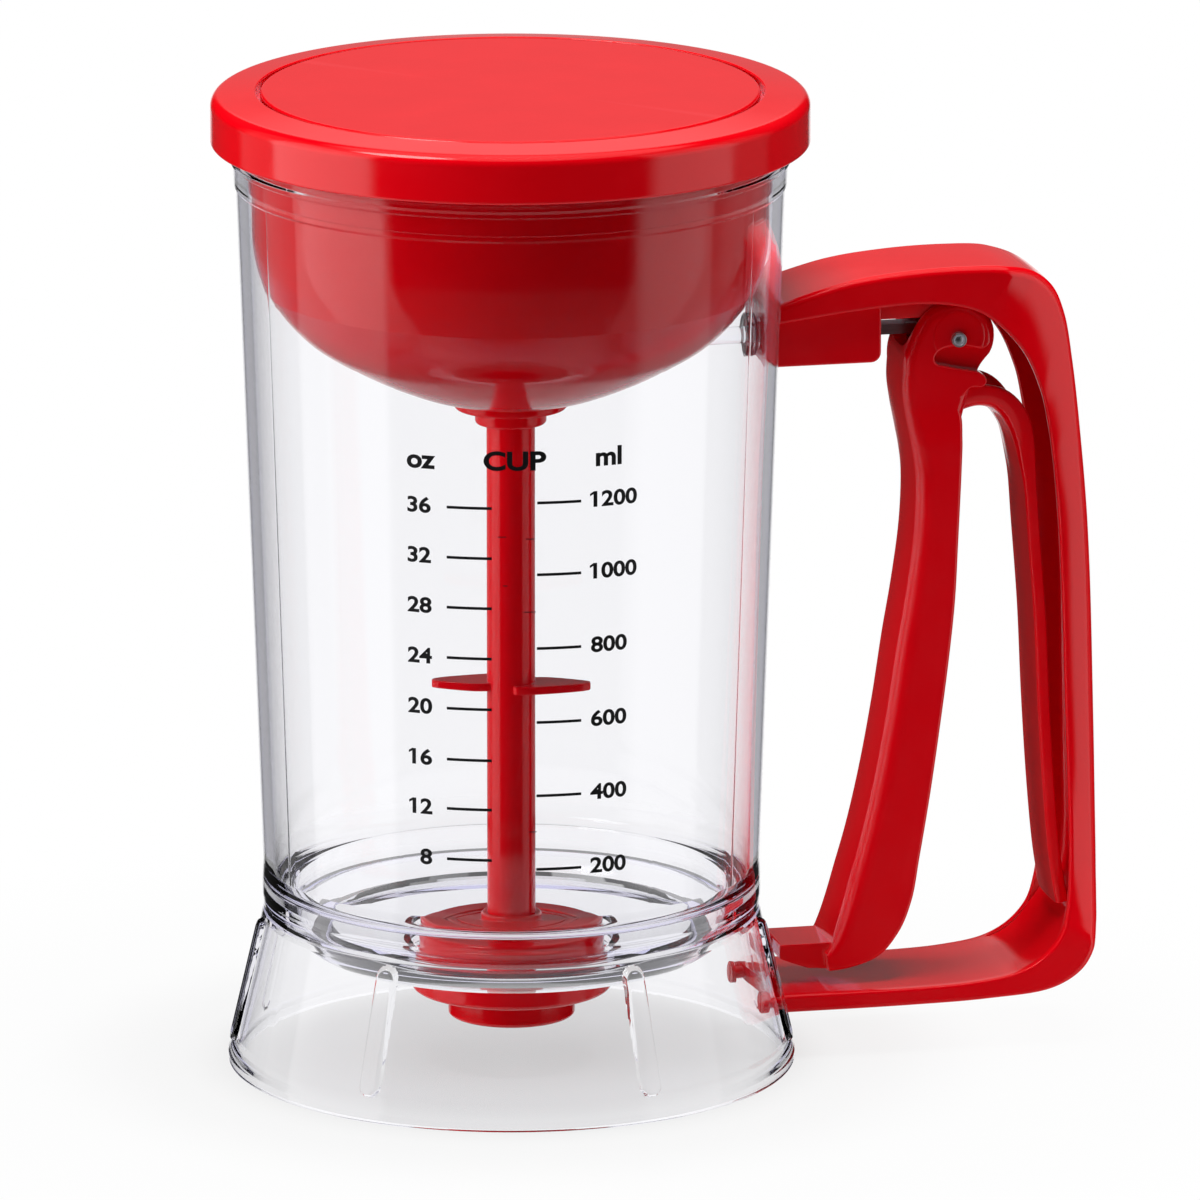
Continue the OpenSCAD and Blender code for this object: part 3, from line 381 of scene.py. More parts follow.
def make_object(name: str, points: Sequence[Solid], faces: Sequence[Sequence[int]],
                sharp: float = 40.0) -> bpy.types.Object:
    """Makes a mesh object from points in millimetres.

    Args:
        name: The object's name.
        points: The vertices.
        faces: Vertex numbers of each face.
        sharp: Edges that turn more than this many degrees stay sharp.

    Returns:
        The object, in the scene.
    """
    mesh = bpy.data.meshes.new(name)
    mesh.from_pydata([(x * MM, y * MM, z * MM) for x, y, z in points], [], [list(f) for f in faces])
    clean = bmesh.new()
    clean.from_mesh(mesh)
    bmesh.ops.remove_doubles(clean, verts=clean.verts, dist=1e-7)
    bmesh.ops.recalc_face_normals(clean, faces=clean.faces)
    clean.to_mesh(mesh)
    clean.free()
    mesh.polygons.foreach_set("use_smooth", [True] * len(mesh.polygons))
    mesh.set_sharp_from_angle(angle=math.radians(sharp))
    made = bpy.data.objects.new(name, mesh)
    bpy.context.scene.collection.objects.link(made)
    return made


def arc(x: float, z: float, r: float, start: float, end: float, count: int) -> list[Flat]:
    """Points on a circle, both ends included.

    Args:
        x: Centre.
        z: Centre.
        r: Radius.
        start: First angle in degrees.
        end: Last angle in degrees.
        count: Number of steps.

    Returns:
        The points.
    """
    turns = [math.radians(start + (end - start) * i / count) for i in range(count + 1)]
    return [(x + r * math.cos(t), z + r * math.sin(t)) for t in turns]


def filleted(corners: Sequence[tuple[float, float, float]], closed: bool = True,
             steps: int = 6) -> list[Flat]:
    """Rounds the corners of an outline.

    Args:
        corners: X, Z and fillet radius of each corner.
        closed: Whether the last corner joins the first.
        steps: Steps in each fillet.

    Returns:
        The rounded outline, with a support point beside each fillet so that flats stay flat.
    """
    made: list[Flat] = []
    count = len(corners)
    for i, (x, z, r) in enumerate(corners):
        if r <= 0 or (not closed and i in (0, count - 1)):
            made.append((x, z))
            continue
        here = Vector((x, z))
        before = Vector(corners[i - 1][:2]) - here
        after = Vector(corners[(i + 1) % count][:2]) - here
        half = before.angle(after) / 2
        if half > math.radians(89):
            made.append((x, z))
            continue
        reach = min(r / math.tan(half), before.length * 0.48, after.length * 0.48)
        r = reach * math.tan(half)
        a, b = before.normalized(), after.normalized()
        centre = here + (a + b).normalized() * (r / math.sin(half))
        start, end = here + a * reach - centre, here + b * reach - centre
        turn = start.angle_signed(end)
        made.append(tuple(here + a * min(reach * 1.18, before.length * 0.5)))
        for k in range(steps + 1):
            t = -turn * k / steps
            made.append((centre.x + start.x * math.cos(t) - start.y * math.sin(t),
                         centre.y + start.x * math.sin(t) + start.y * math.cos(t)))
        made.append(tuple(here + b * min(reach * 1.18, after.length * 0.5)))
    return made


def lathe(name: str, outline: Sequence[Flat], turns: Sequence[float] | int = 192,
          push: Optional[Callable[[float, float, float], float]] = None,
          sharp: float = 40.0) -> bpy.types.Object:
    """Turns a closed outline round the Z axis.

    Args:
        name: The object's name.
        outline: Radius and height of each point.
        turns: Number of even steps, or the angles themselves in degrees.
        push: Gives how far a point moves outwards, from its angle, radius and height.
        sharp: Edges that turn more than this many degrees stay sharp.

    Returns:
        The object.
    """
    angles = [360 * i / turns for i in range(turns)] if isinstance(turns, int) else list(turns)
    points: list[Solid] = []
    for angle in angles:
        c, s = math.cos(math.radians(angle)), math.sin(math.radians(angle))
        for r, z in outline:
            out = r + (push(angle, r, z) if push else 0.0)
            points.append((out * c, out * s, z))
    n, m = len(outline), len(angles)
    faces = [(a * n + i, ((a + 1) % m) * n + i, ((a + 1) % m) * n + (i + 1) % n, a * n + (i + 1) % n)
             for a in range(m) for i in range(n)
             if outline[i][0] > 1e-6 or outline[(i + 1) % n][0] > 1e-6]
    return make_object(name, points, faces, sharp)


def loft(name: str, rings: Sequence[Sequence[Solid]], sharp: float = 50.0) -> bpy.types.Object:
    """Joins closed rings of equal length and caps both ends.

    Args:
        name: The object's name.
        rings: The rings, in order.
        sharp: Edges that turn more than this many degrees stay sharp.

    Returns:
        The object.
    """
    n = len(rings[0])
    points = [p for ring in rings for p in ring]
    faces: list[tuple[int, ...]] = [
        (a * n + i, (a + 1) * n + i, (a + 1) * n + (i + 1) % n, a * n + (i + 1) % n)
        for a in range(len(rings) - 1) for i in range(n)]
    faces += [tuple(range(n - 1, -1, -1)), tuple((len(rings) - 1) * n + i for i in range(n))]
    return make_object(name, points, faces, sharp)


def slab(name: str, outline: Sequence[Flat], y0: float, y1: float, bevel: float = 0.8,
         steps: int = 4) -> bpy.types.Object:
    """Extrudes a flat shape drawn in X and Z, with rounded rims.

    Args:
        name: The object's name.
        outline: The shape.
        y0: Where it starts.
        y1: Where it ends.
        bevel: Width of the rounding on its rims, or 0.
        steps: Steps in the rounding.

    Returns:
        The object.
    """
    n = len(outline)
    points = [(x, y0, z) for x, z in outline] + [(x, y1, z) for x, z in outline]
    faces: list[tuple[int, ...]] = [tuple(range(n)), tuple(range(2 * n - 1, n - 1, -1))]
    faces += [(i, n + i, n + (i + 1) % n, (i + 1) % n) for i in range(n)]
    made = make_object(name, points, faces, 35.0)
    if bevel > 0:
        soft = made.modifiers.new("rounded rims", "BEVEL")
        soft.width = bevel * MM
        soft.segments = steps
        soft.limit_method = "ANGLE"
        soft.angle_limit = math.radians(35)
        soft.harden_normals = True
    return made


def spline(points: Sequence[Sequence[float]], steps: int) -> list[tuple[float, ...]]:
    """Runs a smooth curve through points of any dimension.

    Args:
        points: The points.
        steps: Steps between two points.

    Returns:
        Points on the curve, both ends included.
    """
    made: list[tuple[float, ...]] = []
    last = len(points) - 1
    for i in range(last):
        a, b, c, d = (points[min(max(k, 0), last)] for k in (i - 1, i, i + 1, i + 2))
        gaps = [max(math.dist(p[:2], q[:2]), 1e-6) ** 0.5 for p, q in ((a, b), (b, c), (c, d))]
        t0, t1, t2, t3 = 0.0, gaps[0], gaps[0] + gaps[1], sum(gaps)
        for k in range(steps):
            t = t1 + (t2 - t1) * k / steps
            mixed = []
            for e in range(len(b)):
                p = [(u[e], v[e]) for u, v in ((a, b), (b, c), (c, d))]
                q = [((t1 - t) * p[0][0] + (t - t0) * p[0][1]) / (t1 - t0),
                     ((t2 - t) * p[1][0] + (t - t1) * p[1][1]) / (t2 - t1),
                     ((t3 - t) * p[2][0] + (t - t2) * p[2][1]) / (t3 - t2)]
                m = [((t2 - t) * q[0] + (t - t0) * q[1]) / (t2 - t0),
                     ((t3 - t) * q[1] + (t - t1) * q[2]) / (t3 - t1)]
                mixed.append(((t2 - t) * m[0] + (t - t1) * m[1]) / (t2 - t1))
            made.append(tuple(mixed))
    made.append(tuple(points[last]))
    return made


def channel_ring(outer: Flat, inner: Flat, half: float, wall: float, floor: float, corner: float,
                 lip: float, crown: float = 0.0) -> list[Solid]:
    """One ring of a U-shaped channel that opens towards its inner line.

    Args:
        outer: Point on the skin's line, in X and Z.
        inner: Point on the open side's line.
        half: Half width.
        wall: Thickness of the side walls.
        floor: Depth of the channel's floor below the skin, up to the full depth for a solid bar.
        corner: Radius between skin and side.
        lip: Radius on the open side's rims.
        crown: How far the skin's edges fall back from its middle.

    Returns:
        The closed ring.
    """
    way = Vector(inner) - Vector(outer)
    depth = way.length
    way.normalize()
    solid = min(max((depth - floor) / (2 * wall), 0.0), 1.0)
    inside = lip * solid
    root = min(1.2, wall * 0.6) * solid
    side: list[Flat] = [(0.0, 0.0), (crown * 0.25, (half - corner) * 0.5), (crown, half - corner - 0.25)]
    side += [(crown + corner - corner * math.cos(t), half - corner + corner * math.sin(t))
             for t in (math.radians(9 * k) for k in range(11))]
    side += [(crown + corner + 0.3, half), (depth - lip - 0.3, half)]
    side += [(depth - lip + lip * math.sin(t), half - lip + lip * math.cos(t))
             for t in (math.radians(22.5 * k) for k in range(5))]
    side += [(depth - inside + inside * math.cos(t), half - wall + inside - inside * math.sin(t))
             for t in (math.radians(30 * k) for k in range(4))]
    side += [(floor + root - root * math.sin(t), half - wall - root + root * math.cos(t))
             for t in (math.radians(30 * k) for k in range(4))]
    side += [(floor, (half - wall) * 0.4), (floor, 0.0)]
    flat = [(outer[0] + way.x * n, y, outer[1] + way.y * n) for n, y in side]
    return flat + [(x, -y, z) for x, y, z in reversed(flat[1:-1])]


def combine(piece: bpy.types.Object, tools: Iterable[bpy.types.Object],
            how: str = "DIFFERENCE") -> bpy.types.Object:
    """Takes tools away from a piece, or melts them into it, and deletes them.

    Args:
        piece: The piece.
        tools: The bodies that are taken away or added.
        how: The boolean operation's name.

    Returns:
        The piece.
    """
    for tool in tools:
        step = piece.modifiers.new("combine", "BOOLEAN")
        step.operation = how
        step.solver = "MANIFOLD"
        step.object = tool
        keep = bpy.data.meshes.new_from_object(piece.evaluated_get(bpy.context.evaluated_depsgraph_get()))
        piece.modifiers.clear()
        piece.data = keep
        bpy.data.objects.remove(tool)
    return piece


def cushion(name: str, outline: Sequence[Flat], half: float, rim: float,
            steps: int = 8) -> bpy.types.Object:
    """Extrudes a flat shape to both sides of Y = 0, with broad round rims.

    Args:
        name: The object's name.
        outline: The shape, in X and Z.
        half: Half thickness.
        rim: Radius of the rims.
        steps: Steps in the rims.

    Returns:
        The object.
    """
    rings: list[list[Solid]] = []
    for k in range(steps + 1):
        t = math.radians(90 * k / steps)
        shape = grown(outline, rim * (math.cos(t) - 1))
        rings.append([(x, half - rim + rim * math.sin(t), z) for x, z in shape])
    return loft(name, [[(x, -y, z) for x, y, z in ring] for ring in reversed(rings)] + rings)


def grown(outline: Sequence[Flat], by: float) -> list[Flat]:
    """Moves a closed outline outwards.

    Args:
        outline: The outline.
        by: How far.

    Returns:
        The larger outline.
    """
    n = len(outline)
    area = sum(outline[i][0] * outline[(i + 1) % n][1] - outline[(i + 1) % n][0] * outline[i][1]
               for i in range(n))
    side = 1.0 if area > 0 else -1.0
    made = []
    for i, (x, z) in enumerate(outline):
        a, b = outline[i - 1], outline[(i + 1) % n]
        way = Vector((b[0] - a[0], b[1] - a[1])).normalized()
        made.append((x + side * way.y * by, z - side * way.x * by))
    return made


def flared(name: str, outline: Sequence[Flat], face: float, rim: float, deep: float,
           side: int) -> bpy.types.Object:
    """Makes a body that sinks a pocket into one face of a piece and rounds the pocket's rim.

    Args:
        name: The object's name.
        outline: The pocket, in X and Z.
        face: Distance of the face from Y = 0.
        rim: Radius of the rim.
        deep: Depth of the pocket.
        side: -1 or 1, for the face on that side of Y = 0.

    Returns:
        The tool.
    """
    rings: list[list[Solid]] = []
    rounding = [rim * (1 - math.cos(math.radians(t))) for t in (30.0, 50.0, 70.0, 90.0)]
    for down in [-1.0, 0.0] + rounding + [deep]:
        grow = rim - math.sqrt(max(rim ** 2 - (rim - min(max(down, 0.0), rim)) ** 2, 0.0))
        rings.append([(x, side * (face - down), z) for x, z in grown(outline, grow)])
    return loft(name, rings)


def settle(piece: bpy.types.Object, sharp: float = 38.0) -> bpy.types.Object:
    """Smooths a combined piece and keeps its flats flat.

    Args:
        piece: The piece.
        sharp: Edges that turn more than this many degrees stay sharp.

    Returns:
        The piece.
    """
    piece.data.polygons.foreach_set("use_smooth", [True] * len(piece.data.polygons))
    piece.data.set_sharp_from_angle(angle=math.radians(sharp))
    piece.modifiers.new("flat faces", "WEIGHTED_NORMAL").keep_sharp = True
    return piece


def join(name: str, pieces: Sequence[bpy.types.Object], sharp: float = 38.0) -> bpy.types.Object:
    """Gathers finished meshes into one object.

    Args:
        name: The new object's name.
        pieces: The objects, which are deleted.
        sharp: Edges that turn more than this many degrees stay sharp.

    Returns:
        The object.
    """
    bpy.context.view_layer.update()
    graph = bpy.context.evaluated_depsgraph_get()
    points: list[Solid] = []
    faces: list[tuple[int, ...]] = []
    for piece in pieces:
        mesh = piece.evaluated_get(graph).to_mesh()
        base = len(points)
        points += [tuple(v.co / MM) for v in mesh.vertices]
        faces += [tuple(base + i for i in f.vertices) for f in mesh.polygons]
    for piece in pieces:
        bpy.data.objects.remove(piece)
    return make_object(name, points, faces, sharp)


# ---------------------------------------------------------------- dressing

@dataclass
class SubAssembly:
    """What every sub-assembly shares: its body, its finishes and the pieces it has made."""

    finishes: Finishes
    body: str = "jar"
    made: list[str] = field(default_factory=list)

    def place(self, piece: bpy.types.Object, slot: Slot, nodes: Sequence[str] = (),
              body: Optional[str] = None,
              finish: Optional[bpy.types.Material] = None,
              bends: Optional[tuple[Solid, Solid]] = None) -> bpy.types.Object:
        """Dresses a piece and puts it on its body, or fixes a piece that flexes where it stands.

        Args:
            piece: The piece.
            slot: Record slot of its finish.
            nodes: CAD nodes that it stands for.
            body: The body it rides on, where it isn't the sub-assembly's own.
            finish: A material that isn't the slot's.
            bends: Where a piece that flexes stops moving with its body, and where it starts to
                stay with the jar. Only whether they are given counts: the piece is then fixed where it
                stands, not bent.

        Returns:
            The piece.
        """
        piece.data.materials.clear()
        piece.data.materials.append(finish or self.finishes.of(slot))
        if bends:
            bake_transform(piece)
        else:
            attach(piece, body or self.body)
        if nodes:
            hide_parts(*nodes)
        self.made.append(piece.name)
        return piece

    def dress(self, node: str, slot: Slot, finish: Optional[bpy.types.Material] = None) -> None:
        """Gives a CAD node that stays its finish.

        Args:
            node: The node's name.
            slot: Record slot of its finish.
            finish: A material that isn't the slot's.
        """
        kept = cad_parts[node]
        kept.data.materials.clear()
        kept.data.materials.append(finish or self.finishes.of(slot))
        self.made.append(node)


@dataclass
class Jar(SubAssembly):
    """Clear jar, flared skirt, foot ring and dished floor in one moulding."""

    foot_r: float = 67.0
    waist_r: float = 58.4
    skirt_h: float = 38.0
    waist_z: float = 47.0
    rim_r: float = 64.6
    rim_z: float = 226.0
    wall: float = 2.6
    skirt_wall: float = 2.4
    collar: float = 0.45
    front_turn: float = 12.5
    rib_turns: tuple[float, ...] = (30.0, 83.5, 111.3)
    rib_half: float = 2.65
    rib_out: float = 1.3
    rib_lean: float = 1.2
    rib_low: float = 8.8
    rib_high: float = 33.4
    seam_turn: float = 62.0

    def wall_r(self, z: float) -> float:
        """Outer radius of the jar's wall at a height."""
        return self.waist_r + (z - self.waist_z) * (self.rim_r - self.waist_r) / (self.rim_z - self.waist_z)

    def skirt_r(self, z: float) -> float:
        """Outer radius of the skirt at a height."""
        return self.waist_r + (self.skirt_h - z) * (self.foot_r - 0.9 - self.waist_r) / (self.skirt_h - 4.5)

    def outline(self) -> list[Flat]:
        """Section of the whole moulding.

        Returns:
            Radius and height of each point, as one closed line.
        """
        under = arc(0, 164.45, 140, -79.4, -70.2, 8) + arc(41, 40.1, 13, -71, -22, 9)
        skirt_in = [(self.skirt_r(z) - self.skirt_wall, z) for z in self.skirt_heights(35.0)]
        skirt_out = [(self.skirt_r(z), z) for z in reversed(self.skirt_heights(37.0))]
        low = filleted([(63.75, 5.4, 0), (64.1, 2.6, 1.2), (64.3, 0.0, 1.0), (67.0, 0.0, 1.0),
                        (67.0, 2.4, 1.2), (66.2, 4.6, 1.5), (65.98, 5.4, 0)], closed=False, steps=6)
        upper = filleted([
            (self.waist_r + 0.2, 37.2, 0), (self.waist_r, 38.4, 1.2), (58.75, 41.5, 2.5),
            (58.7, 45.0, 2.5), (58.48, 49.0, 2.0), (self.wall_r(211.2), 211.2, 0.3),
            (self.wall_r(211.8) + self.collar, 211.8, 0.3), (self.wall_r(217.0) + self.collar, 217.0, 0.25),
            (65.4, 217.4, 0.3), (65.4, 218.3, 0.3), (self.wall_r(218.8) + self.collar, 218.8, 0.25),
            (self.rim_r + self.collar, self.rim_z, 0.8), (self.rim_r - self.wall, self.rim_z, 0.6),
            (self.wall_r(50.0) - self.wall, 50.0, 0)], closed=False, steps=5)
        inside = arc(self.wall_r(47.0) - self.wall - 4, 47, 4, -5, -80, 8)
        dish = filleted([(51.4, 43.6, 0), (51.0, 43.1, 0.5)], closed=False) \
            + arc(41, 40.1, 10, -3, -71, 12) + arc(0, 164.45, 137, -71.9, -79.9, 10)
        centre = filleted([(23.4, 26.0, 0), (17.3, 26.0, 0.4), (17.3, 22.5, 0.4), (24.2, 22.5, 0.4),
                           (26.1, 26.9, 0)], closed=False, steps=4)
        return centre + under[1:] + [(54.4, 36.2), (56.6, 36.3)] \
            + skirt_in + low + skirt_out + upper + inside + dish

    def skirt_heights(self, top: float) -> list[float]:
        """Heights of the skirt's rows, close together where a rib ends.

        Args:
            top: The highest row.

        Returns:
            The heights, from the top down.
        """
        close = [self.rib_high + 3.4 - 0.4 * i for i in range(14)]
        long = [self.rib_high - 2.6 - 2.2 * i for i in range(8)]
        low = [self.rib_low + 1.6 - 0.4 * i for i in range(14)]
        return [z for z in sorted(set([top] + close + long + low), reverse=True) if 5.8 <= z <= top]

    def turns(self) -> list[float]:
        """Angles of the moulding's columns, close together at the ribs.

        Returns:
            The angles in degrees.
        """
        angles = {round(360 * i / 180, 3) for i in range(180)}
        for centre in self.rib_angles():
            near = {round((centre + 0.22 * k) % 360, 3) for k in range(-20, 21)}
            angles = {a for a in angles if abs((a - centre + 180) % 360 - 180) > 4.6} | near
        for seam in self.seam_angles():
            near = {round((seam + 0.16 * k) % 360, 3) for k in range(-4, 5)}
            angles = {a for a in angles if abs((a - seam + 180) % 360 - 180) > 0.8} | near
        return sorted(angles)

    def seam_angles(self) -> list[float]:
        """Angle of each of the mould's parting lines, in degrees from +X."""
        return [(s * self.seam_turn - 90 - self.front_turn) % 360 for s in (-1, 1)]

    def rib_angles(self) -> list[float]:
        """Angle of each rib's middle, in degrees from +X."""
        return [(s * turn - 90 - self.front_turn) % 360 for turn in self.rib_turns for s in (-1, 1)]

    def rib_push(self, angle: float, r: float, z: float) -> float:
        """Raises the ribs on the skirt and the parting lines on the wall.

        Args:
            angle: The point's angle in degrees.
            r: Its radius.
            z: Its height.

        Returns:
            How far it moves outwards.
        """
        if 49.0 < z < 211.0 and r > self.wall_r(z) - 0.3:
            off = min(abs((angle - c + 180) % 360 - 180) for c in self.seam_angles())
            return 0.14 * max(1 - off / 0.4, 0.0)
        skirt = self.skirt_r(z)
        if not (5.7 <= z <= 36.0) or not skirt - 1.0 <= r <= skirt + 0.3:
            return 0.0
        lean = self.rib_lean * (z - self.rib_low) / (self.rib_high - self.rib_low)
        away = min(abs((angle - c - lean * s + 180) % 360 - 180)
                   for c, s in zip(self.rib_angles(), (1, -1) * 3))
        across = math.radians(away) * r
        along = max(self.rib_low - z, z - self.rib_high, 0.0)
        gap = self.rib_half - math.hypot(across, along)
        t = min(max(gap / 0.95 + 0.1, 0.0), 1.0)
        return self.rib_out * math.sqrt(t * (2 - t))

    def build(self) -> None:
        """Builds the moulding and dresses the small parts that sit in it."""
        piece = lathe("jar_moulding", self.outline(), self.turns(), self.rib_push, 28.0)
        self.place(piece, Slot.CLEAR, ("container",))
        self.dress("port_bushing", Slot.CLEAR)
        self.dress("port_seal", Slot.RUBBER)
        self.dress("lower_screws", Slot.STEEL, self.finishes.red)


@dataclass
class MeasureScale(SubAssembly):
    """Printed ounce, cup and millilitre scale on the jar's wall."""

    skin: float = 0.06
    waist_r: float = 58.4
    waist_z: float = 47.0
    slope: float = 0.03464
    turn: float = -12.5
    digit_h: float = 3.55
    # How far the flag of a one reaches aside and down, against the font's size.
    flag: Flat = (0.17, 0.12)
    # Height of a capital against the font's size.
    cap_share: float = 0.7
    tick_t: float = 0.68
    word_h: float = 4.3
    word_weight: float = 0.034
    digit_stretch: float = 1.18
    digit_weight: float = 0.03
    # Text, angle of its middle from the scale's middle, height and width against the font's own.
    words: tuple[tuple[str, float, float, float], ...] = (
        ("oz", -19.1, 159.4, 1.12), ("CUP", 1.2, 159.35, 1.22), ("ml", 21.6, 159.9, 1.12))
    # Number and height of each line of the two scales.
    ounces: tuple[tuple[int, float], ...] = (
        (36, 148.2), (32, 136.2), (28, 124.2), (24, 112.1), (20, 99.9), (16, 87.6), (12, 75.7), (8, 63.5))
    millilitres: tuple[tuple[int, float], ...] = (
        (1200, 149.5), (1000, 132.3), (800, 114.6), (600, 96.8), (400, 79.1), (200, 61.3))
    # Middle, height and half length of each short hairline between the scales.
    hairlines: tuple[Solid, ...] = (
        (-1.6, 141.4, 0.9), (4.5, 140.9, 0.95), (-0.9, 129.7, 0.5), (4.4, 123.4, 1.3), (5.2, 70.4, 0.8))
    hairline_t: float = 0.22

    def on_wall(self, across: float, z: float, lift: float) -> Solid:
        """Puts a point of the print on the wall.

        Args:
            across: Arc length from the scale's middle, in millimetres.
            z: Height.
            lift: Distance off the wall.

        Returns:
            The point.
        """
        r = self.waist_r + (z - self.waist_z) * self.slope
        angle = across / r + math.radians(self.turn)
        return ((r + lift) * math.sin(angle), -(r + lift) * math.cos(angle), z)

    def word(self, text: str, angle: float, z: float, height: float, stretch: float = 1.0,
             weight: float = 0.022) -> bpy.types.Object:
        """Prints a word or number on the wall.

        Args:
            text: What it says.
            angle: Angle of its middle from the scale's middle, in degrees.
            z: Height of its middle.
            height: Height of a capital or digit.
            stretch: Its width against the font's own.
            weight: How far the strokes are fattened, against the font's size.

        Returns:
            The printed mesh.
        """
        curve = bpy.data.curves.new("print", "FONT")
        curve.body = text
        curve.size = 1.0
        curve.resolution_u = 6
        curve.offset = weight
        holder = bpy.data.objects.new("print", curve)
        bpy.context.scene.collection.objects.link(holder)
        bpy.context.view_layer.update()
        flat = bpy.data.meshes.new_from_object(holder.evaluated_get(bpy.context.evaluated_depsgraph_get()))
        bpy.data.objects.remove(holder)
        spots = [(v.co.x, v.co.y) for v in flat.vertices]
        faces = [tuple(f.vertices) for f in flat.polygons]
        bpy.data.meshes.remove(flat)
        if text[0] == "1":
            stem, top = min(x for x, _ in spots) + 0.03, max(y for _, y in spots)
            faces.append(tuple(range(len(spots), len(spots) + 4)))
            spots += [(stem, top), (stem - self.flag[0], top - self.flag[1]),
                      (stem - self.flag[0], top - self.flag[1] - 0.12), (stem, top - 0.13)]
        xs, ys = [x for x, _ in spots], [y for _, y in spots]
        mid_x = (min(xs) + max(xs)) / 2
        low = min(ys) if text not in ("oz", "ml") else 0.0
        size = height / self.cap_share
        r = self.waist_r + (z - self.waist_z) * self.slope
        centre = math.radians(angle) * r
        rise = z - height / 2
        points = [self.on_wall(centre + (x - mid_x) * size * stretch, rise + (y - low) * size, self.skin)
                  for x, y in spots]
        return make_object("print_word", points, faces)

    def tick(self, start: float, end: float, z: float, thick: float) -> bpy.types.Object:
        """Prints a line on the wall.

        Args:
            start: Angle where it starts, in degrees from the scale's middle.
            end: Angle where it ends.
            z: Its height.
            thick: Its thickness.

        Returns:
            The printed mesh.
        """
        r = self.waist_r + (z - self.waist_z) * self.slope
        count = 12
        row = [math.radians(start + (end - start) * i / count) * r for i in range(count + 1)]
        points = [self.on_wall(a, z - thick / 2, self.skin) for a in row] \
            + [self.on_wall(a, z + thick / 2, self.skin) for a in reversed(row)]
        n = len(row)
        faces = [(i, i + 1, 2 * n - 2 - i, 2 * n - 1 - i) for i in range(n - 1)]
        return make_object("print_tick", points, faces)

    def build(self) -> None:
        """Prints the whole scale."""
        parts = [self.word(text, angle, z, self.word_h, stretch, self.word_weight)
                 for text, angle, z, stretch in self.words]
        top = self.ounces[0][1]
        for number, z in self.ounces:
            middle = -19.7 - (top - z) * 0.0093 + (1.25 if number < 10 else 0.0)
            parts.append(self.word(str(number), middle, z, self.digit_h, self.digit_stretch,
                                   self.digit_weight))
            parts.append(self.tick(-13.5 - (top - z) * 0.01, -3.75 - (top - z) * 0.004, z, self.tick_t))
        top = self.millilitres[0][1]
        for number, z in self.millilitres:
            middle = (22.9 if number > 999 else 21.9) + (top - z) * 0.01
            parts.append(self.word(str(number), middle, z + 0.1, self.digit_h, self.digit_stretch,
                                   self.digit_weight))
            parts.append(self.tick(5.95, 15.5 + (top - z) * 0.009, z, self.tick_t))
        for middle, z, half in self.hairlines:
            parts.append(self.tick(middle - half, middle + half, z, self.hairline_t))
        self.place(join("measure_print", parts), Slot.CLEAR, finish=self.finishes.ink)


@dataclass
class Outlet(SubAssembly):
    """Seat ring on the floor, its gasket, the nut under it and the spout."""

    ring: Corners = (
        (12.0, 19.7, 0.3), (17.0, 19.7, 0.3), (17.0, 27.0, 0), (21.9, 27.0, 0.3), (21.9, 32.5, 1.1),
        (16.3, 32.5, 0.5), (16.3, 28.5, 0.3), (12.0, 28.5, 0.4))
    nut: Corners = (
        (15.1, 17.5, 0.2), (23.6, 17.5, 1.0), (23.6, 22.5, 0.8), (17.0, 22.5, 0.2), (17.0, 19.0, 0.2),
        (15.1, 19.0, 0.2))
    tube: Corners = (
        (12.0, 10.9, 0.4), (15.0, 10.9, 0.8), (15.0, 17.3, 0.1), (14.8, 17.3, 0.1), (14.8, 19.0, 0.1),
        (16.8, 19.0, 0.2), (16.8, 20.2, 0.2), (12.0, 20.2, 0.3))

    def build(self) -> None:
        """Builds the turned pieces and dresses the gasket."""
        for name, corners, turns, node in (("valve_seat", self.ring, 160, "seat_ring"),
                                           ("outlet_nut", self.nut, 160, "nozzle_nut"),
                                           ("outlet_tube", self.tube, 128, "spout")):
            self.place(lathe(name, filleted(corners), turns), Slot.RED, (node,))
        self.dress("outlet_gasket", Slot.RUBBER)


